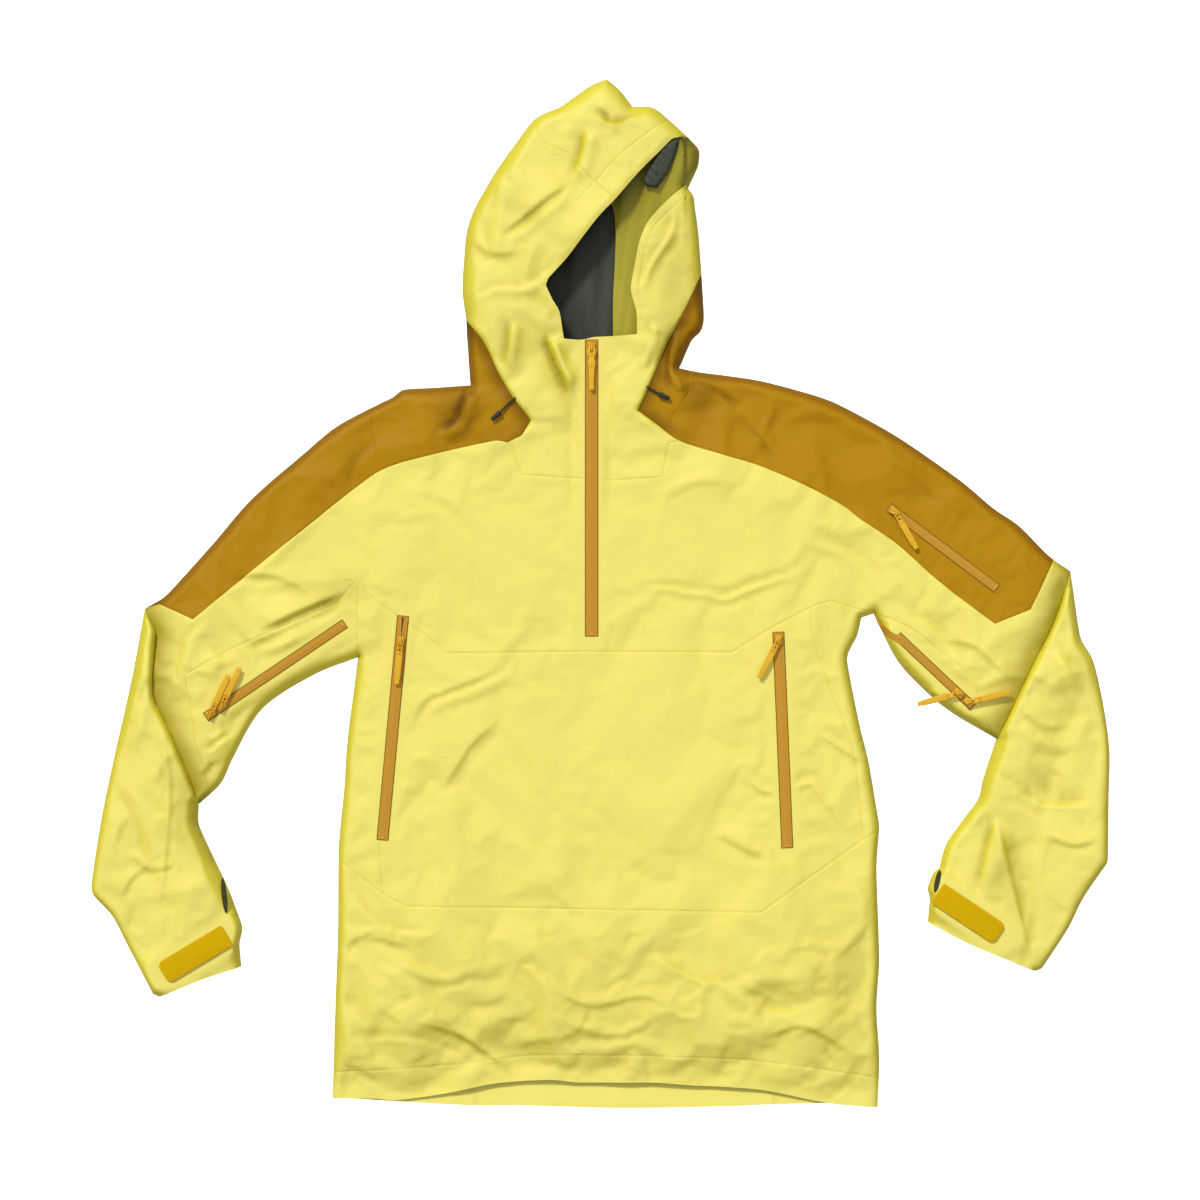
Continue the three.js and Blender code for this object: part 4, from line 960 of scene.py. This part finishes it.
def lining_height(p):
    x, y = p[:, 0], p[:, 1]
    pleats = 1.6 * np.sin((x + 0.25 * y) * 0.11) + 0.6 * np.sin((x - 0.1 * y) * 0.27 + 1)
    return 6.0 + pleats + 0.35 * sample(wrinkles, p)


layer("hood_lining_fabric", [(60, 470), (10, 455), (-40, 425), (-90, 350), (-80, 290), (-60, 268),
                             (40, 268), (46, 330), (56, 400), (64, 440)], [], lining_height, GREY,
                             "lining_grey", ["hood_lining"],
      shade=0.9)


def facing_height(p):
    x, y = p[:, 0], p[:, 1]
    across = np.clip((x - 15) / 60, 0, 1)
    low = 10.5 + 12 * across + 4 * step_up(y, 420, 480)
    low = low + 1.6 * np.sin((x * 0.9 - y * 0.16) * 0.22) * step_up(x, 16, 26) + 0.4 * sample(wrinkles, p)
    return np.minimum(low, front_height(p) - 3.5)


layer("hood_inner_facing", [(14, 272), (14, 329), (16, 370), (17, 405), (14, 432), (2, 448), (20, 470),
                            (50, 496), (78, 514), (99, 511), (109, 500), (110, 491), (108, 479),
                            (100, 470), (90, 446), (70, 422), (56, 392), (50, 340), (52, 312), (50, 272)],
                            [], facing_height, SHADED_YELLOW, "shell_yellow",
      shade=1.0)


def tunnel_height(p):
    x, y = p[:, 0], p[:, 1]
    u = (x - 60) * 0.8 + (y - 470) * 0.6
    crinkle = 1.0 * np.sin(u * 0.9 + 0.5 * np.sin(x * 0.4)) * np.clip(far_from(p, tunnel_line) / 4, 0, 1)
    return np.minimum(27 + crinkle + 3 * rolled(far_from(p, tunnel_line), 7), front_height(p) - 1.2)


tunnel = [(88, 510), (86, 498), (82, 486), (76, 471), (69, 461), (63, 453), (49, 456), (48, 464),
          (58, 483), (70, 502)]
tunnel_line = smooth(tunnel + tunnel[:1])
layer("brim_adjuster_fabric", tunnel, [], tunnel_height, GREY, "lining_grey", ["brim_adjuster_tunnel"], 2.2)


# ---------- Tools for the hard pieces ----------
def rounded(obj, width, segments=2):
    only(obj)
    edge = obj.modifiers.new("edge", "BEVEL")
    edge.width, edge.segments = width * MM, segments
    edge.limit_method, edge.angle_limit = "ANGLE", math.radians(40)
    bpy.ops.object.modifier_apply(modifier="edge")
    return obj


def settled(obj):
    bpy.ops.object.transform_apply(location=True, rotation=True, scale=True)
    return obj


def block(size, place=(0, 0, 0), bevel=0.0, segments=2):
    deselect()
    bpy.ops.mesh.primitive_cube_add(size=1, location=Vector(place) * MM)
    obj = bpy.context.object
    obj.scale = Vector(size) * MM
    settled(obj)
    return rounded(obj, bevel, segments) if bevel else obj


def disc(rx, ry, depth, place=(0, 0, 0), bevel=0.0, sides=28):
    deselect()
    bpy.ops.mesh.primitive_cylinder_add(vertices=sides, radius=1, depth=1, location=Vector(place) * MM)
    obj = bpy.context.object
    obj.scale = Vector((rx, ry, depth)) * MM
    settled(obj)
    return rounded(obj, bevel) if bevel else obj


def pick(obj, wanted):
    """Edit mode, with the vertices selected whose place is wanted."""
    only(obj)
    bpy.ops.object.mode_set(mode="EDIT")
    bpy.ops.mesh.select_mode(type="VERT")
    bpy.ops.mesh.select_all(action="DESELECT")
    bpy.ops.object.mode_set(mode="OBJECT")
    for v in obj.data.vertices:
        v.select = wanted(v.co)
    bpy.ops.object.mode_set(mode="EDIT")


def narrow(obj, beyond, across, up=1.0):
    """Squeezes the part of a piece that lies past a distance along X."""
    pick(obj, lambda co: co.x > beyond * MM)
    bpy.ops.transform.resize(value=(1, across, up))
    bpy.ops.object.mode_set(mode="OBJECT")
    return obj


def cut(obj, *tools):
    for tool in tools:
        only(obj)
        hole = obj.modifiers.new("hole", "BOOLEAN")
        hole.operation, hole.object, hole.solver = "DIFFERENCE", tool, "EXACT"
        bpy.ops.object.modifier_apply(modifier="hole")
        bpy.data.objects.remove(tool)
    return obj


def in_a_row(obj, count, step):
    """A piece repeated a step apart, in one mesh."""
    only(obj)
    row = obj.modifiers.new("row", "ARRAY")
    row.use_relative_offset, row.use_constant_offset = False, True
    row.constant_offset_displace = Vector(step) * MM
    row.count = count
    bpy.ops.object.modifier_apply(modifier="row")
    return obj


def finished(pieces, name):
    """Pieces joined as one, each with its own material."""
    for obj, finish in pieces:
        obj.data.materials.clear()
        obj.data.materials.append(finish)
    deselect()
    for obj, _ in pieces:
        obj.select_set(True)
    bpy.context.view_layer.objects.active = pieces[0][0]
    if len(pieces) > 1:
        bpy.ops.object.join()
    obj = bpy.context.object
    obj.name = name
    bpy.ops.object.shade_smooth_by_angle(angle=math.radians(35))
    return obj


def copied(obj, name):
    only(obj)
    bpy.ops.object.duplicate()
    made = bpy.context.object
    made.name = name
    return made


def placed(obj, x, y, z, angle, body, slot, *nodes):
    """Turned to its direction and moved to its place, with the place kept in the mesh."""
    only(obj)
    turn = Matrix.Rotation(math.radians(angle), 4, "Z")
    obj.matrix_world = Matrix.Translation(Vector((x, y, z)) * MM) @ turn
    settled(obj)
    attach(obj, body)
    if nodes:
        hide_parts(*nodes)
    return obj


# ---------- Zips ----------
TAPE_TOP = 24.3
PULLER_Z = 28.75
TOOTH_PITCH = 1.5
TOOTH = (1.0, 1.1, 0.7)


def teeth_row(length, side, start):
    tooth = block(TOOTH, (start, side, 0.3), 0.2, 1)
    return in_a_row(tooth, max(2, int((length - start) / TOOTH_PITCH)), (TOOTH_PITCH, 0, 0))


def zip_run(name, start, end, length, width, parted=0.0):
    run = np.array(end, float) - start
    angle = math.degrees(math.atan2(run[1], run[0]))
    unit = run / np.linalg.norm(run)
    side = np.array([-unit[1], unit[0]])
    corners = [start - unit * 0.5 - side * width / 2, start + unit * (length + 0.5) - side * width / 2,
               start + unit * (length + 0.5) + side * width / 2, start - unit * 0.5 + side * width / 2]
    outline = joined(*[smooth([a, b]) for a, b in zip(corners, corners[1:] + corners[:1])])
    a, f, _, _ = triangulate(outline, [], CLOTH_STEP)
    middle = np.abs((a - start) @ side)
    height = TAPE_TOP + 0.35 * np.exp(-(middle / 2.6)**4)
    cloth_piece(name + "_tape_cloth", a, f, height, TAPE, "zip_tape", [name + "_tape"])
    border = block((length + 2.4, width + 2.0, 0.5), (length / 2, 0, 0), 0.2, 1)
    border = finished([(border, TAPE_EDGE)], name + "_edge")
    placed(border, *start, TAPE_TOP - 0.55, angle, "shell", "zip_tape")
    rows = [teeth_row(length, 0.72, parted + 1.0), teeth_row(length, -0.72, parted + 1.75)]
    if parted:
        for sign in (1, -1):
            tooth = block(TOOTH, (1.2, sign * 1.5, 0.3), 0.2, 1)
            rows.append(in_a_row(tooth, int(parted / TOOTH_PITCH), (TOOTH_PITCH, -sign * 0.04, 0)))
    pieces = [(row, TEETH) for row in rows]
    pieces.append((block((2.4, 3.8, 1.0), (length - 1.6, 0, 0.4), 0.3), TEETH))
    if parted:
        # painted shadow between the parted teeth
        gap = block((parted - 3, 2.2, 0.35), (parted / 2 - 1, 0, 0.3))
        pieces.append((narrow(gap, parted / 2, 0.15), PAINTED_SHADOW))
    placed(finished(pieces, name + "_teeth"), *start, TAPE_TOP, angle, "shell", "zip_tape")


zip_run("front_zip", (-10, 283), (-10, -49), 330, 13)
zip_run("right_pocket_zip", (-221, -26), (-245, -286), 250, 11.4, 24)
zip_run("left_pocket_zip", (199, -44), (209, -285), 240, 11.4)
zip_run("arm_pocket_zip", (323, 96), (443, 6), 150, 9.4)
zip_run("right_pit_zip", (-441, -138), (-288, -35), 186, 9.4)
zip_run("left_pit_zip", (416, -126), (332, -47), 114, 8.4)


hidden_zip = smooth([(338, -54), (323, -45), (314, -35), (309, -25)])
half = np.linspace(4.2, 1.4, len(hidden_zip))[:, None]
aside = offset(hidden_zip, 1.0) - hidden_zip
a, f, _, _ = triangulate(joined(hidden_zip - aside * half, (hidden_zip + aside * half)[::-1]), [], CLOTH_STEP)
cloth_piece("left_pit_zip_upper_tape", a, f, np.maximum(front_height(a), 8) + 0.8, TAPE, "zip_tape")

# Each slider's place, the way its zip runs, its puller's direction and the looks of the puller.
sliders = [
    ("front", (-10, 275), -90, -90, "drop"),
    ("right_pocket", (-223.57, -53.88), -95.27, -95.27, "strap"),
    ("left_pocket", (199.33, -51.99), -87.62, -117.62, "strap"),
    ("arm_pocket", (329.4, 91.2), -36.87, -59.87, "strap"),
    ("right_pit_lower", (-436.02, -134.65), 33.95, 64.95, "strap"),
    ("right_pit_upper", (-423.58, -126.27), 33.95, 64.95, "strap"),
    ("left_pit_lower", (411.63, -121.89), 136.75, 14.75, "strap"),
    ("left_pit_upper", (400.7, -111.61), 136.75, -165.25, "strap"),
]

def slider_body():
    plate = narrow(block((11, 8.6, 2.9), (0, 0, 1.75)), 0, 0.72)
    plate = rounded(plate, 0.7, 3)
    channel = block((12.5, 4.6, 1.5), (0, 0, 0.5))
    return cut(plate, channel)


def slider_bail(turn):
    bridge = block((8, 2.3, 4.0), (0, 0, 5.0), 0.5, 3)
    window = block((5.2, 4, 2.3), (0, 0, 4.45))
    bridge = cut(bridge, window)
    only(bridge)
    bridge.rotation_euler.z = math.radians(turn)
    settled(bridge)
    return bridge


def strap_puller():
    link = rounded(block((13.2, 6.4, 1.5), (6.1, 0, 0)), 0.5, 3)
    link = cut(link, block((5.0, 3.5, 4), (3.3, 0, 0)), disc(1.35, 1.35, 4, (9.1, 0, 0), sides=16))
    strap = narrow(block((31, 7.4, 1.9), (27.5, 0, 0)), 30, 0.9)
    strap = rounded(strap, 0.55, 3)
    stub = rounded(block((6.5, 5.4, 1.5), (44.6, 0, 0)), 0.6, 3)
    ribs = [block((25, 0.7, 2.15), (27, y, 0), 0.25, 1) for y in (-1.9, 1.9)]
    clasp = block((3.2, 6.9, 2.3), (13.6, 0, 0), 0.5, 2)
    return finished([(link, METAL), (strap, PULL), (stub, PULL), (clasp, METAL)] + [(r, PULL) for r in ribs],
                    "strap_puller")


def drop_puller():
    head = disc(6.6, 4.9, 1.6, (4.6, 0, 0), 0.5)
    head = cut(head, block((5.0, 3.5, 4), (3.3, 0, 0)))
    joint = disc(6.2, 4.2, 2.0, (17.5, 0, 0), 0.6)
    neck = narrow(block((8, 6.4, 1.3), (12.6, 0, 0)), 12.6, 0.9)
    tail = narrow(block((28, 6.8, 1.7), (32, 0, 0)), 32, 0.7)
    tail = rounded(tail, 0.5, 3)
    tip = disc(3.4, 3.0, 2.0, (44.6, 0, 0), 0.5)
    return finished([(head, PULL), (joint, PULL), (neck, PULL), (tail, PULL), (tip, PULL)], "drop_puller")


strap_pattern, drop_pattern, plate_pattern = strap_puller(), drop_puller(), slider_body()
for name, (x, y), run, pull, kind in sliders:
    plate = copied(plate_pattern, name + "_plate")
    casting = finished([(plate, METAL), (slider_bail(pull - run), METAL)], name + "_slider_casting")
    placed(casting, x, y, TAPE_TOP, run, name + "_slider", "slider_metal", name + "_slider")
    puller = copied(drop_pattern if kind == "drop" else strap_pattern, name + "_pull")
    placed(puller, x, y, PULLER_Z, pull, name + "_puller", "puller_gold", name + "_puller")
for pattern in (strap_pattern, drop_pattern, plate_pattern):
    bpy.data.objects.remove(pattern)


# ---------- Cuff tabs ----------
TAB_LENGTH, TAB_WIDTH, TAB_THICKNESS = 84, 26, 2
STITCH_PITCH = 3.7


def corner_round(obj, x_side, radius):
    """Rounds the two corners of a flat plate on one side of X."""
    pick(obj, lambda co: abs(co.x - x_side * MM) < 1e-5)
    bpy.ops.mesh.bevel(offset=radius * MM, segments=6, affect="VERTICES")
    bpy.ops.object.mode_set(mode="OBJECT")


def tab(name, x, y, angle):
    deselect()
    bpy.ops.mesh.primitive_plane_add(size=1, location=(TAB_LENGTH / 2 * MM, 0, 0))
    plate = bpy.context.object
    plate.scale = (TAB_LENGTH * MM, TAB_WIDTH * MM, 1)
    settled(plate)
    corner_round(plate, TAB_LENGTH, 7)
    corner_round(plate, 0, 3)
    bpy.ops.object.mode_set(mode="EDIT")
    bpy.ops.mesh.select_all(action="SELECT")
    bpy.ops.mesh.extrude_region_move(TRANSFORM_OT_translate={"value": (0, 0, TAB_THICKNESS * MM)})
    bpy.ops.mesh.select_all(action="SELECT")
    bpy.ops.mesh.normals_make_consistent(inside=False)
    bpy.ops.object.mode_set(mode="OBJECT")
    rounded(plate, 0.5, 3)
    stitches = []
    for along_y in (-10.3, 10.3):
        stitch = block((2.6, 0.55, 0.5), (5, along_y, 2.0), 0.2, 1)
        stitches.append((in_a_row(stitch, 20, (STITCH_PITCH, 0, 0)), PULL))
    for x_side in (3.2, 80.6):
        stitch = block((0.55, 2.6, 0.5), (x_side, -7.4, 2.0), 0.2, 1)
        stitches.append((in_a_row(stitch, 5, (0, STITCH_PITCH, 0)), PULL))
    made = finished([(plate, TAB)] + stitches, name + "_plate")
    placed(made, x, y, TAPE_TOP, angle, name, "tab_gold", name)


tab("right_cuff_tab", -417.5, -382, -149)
tab("left_cuff_tab", 376.8, -335, -33.7)

# painted shadow: a dark disc where each cuff opens, standing for the shade inside
for name, x, y, angle, long in (("right_cuff_opening", -421, -338, -84, 40),
                                ("left_cuff_opening", 377, -322, 78, 26)):
    gap = finished([(disc(long / 2, 3.0, 0.8, bevel=0.3), PAINTED_SHADOW)], name)
    placed(gap, x, y, 23.4, angle, "shell", "lining_grey")


# ---------- Hood cords and hanger loop ----------
CORD_LENGTH, CORD_WIDTH, CORD_Z = 31, 2.6, 25.6


def hood_cord(side, x, y, angle):
    c, s = math.cos(math.radians(angle)), math.sin(math.radians(angle))
    body = side + "_cord_pull"
    end = disc(3.0, 3.0, 13, sides=20)
    end.rotation_euler = (0, math.radians(90), 0)
    only(end)
    settled(end)
    narrow(end, 0, 0.68, 0.68)
    rounded(end, 0.9, 3)
    only(end)
    end.location.x = 37.8 * MM
    settled(end)
    end = finished([(end, BLACK)], side + "_cord_tip")
    placed(end, x, y, 27.3, angle, body, "cord_black", side + "_cord_end")
    curve = bpy.data.curves.new(side + "_hood_cord_line", "CURVE")
    curve.dimensions, curve.use_fill_caps = "3D", True
    curve.bevel_depth, curve.bevel_resolution = CORD_WIDTH / 2 * MM, 4
    spline = curve.splines.new("POLY")
    steps = 16
    spline.points.add(steps - 1)
    for i, point in enumerate(spline.points):
        t = i / (steps - 1)
        along, aside = CORD_LENGTH * t, 1.6 * math.sin(math.pi * t) * (1 if side == "left" else -1)
        point.co = ((x + c * along - s * aside) * MM, (y + s * along + c * aside) * MM,
                    (CORD_Z + 1.5 * t * t) * MM, 1)
    obj = bpy.data.objects.new(side + "_hood_cord_line", curve)
    scene.collection.objects.link(obj)
    curve.materials.append(BLACK)
    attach(obj, body)
    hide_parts(side + "_hood_cord")


hood_cord("right", -88, 223, -139.7)
hood_cord("left", 37, 236, -24.6)

deselect()
bpy.ops.mesh.primitive_torus_add(major_radius=0.029, minor_radius=0.0018, major_segments=40, minor_segments=8)
loop = bpy.context.object
loop.scale = (1, 0.14, 0.35)
settled(loop)
placed(finished([(loop, OCHRE)], "hanger_loop_band"), -10, 271, 2.6, 0, "shell", "yoke_ochre", "hanger_loop")
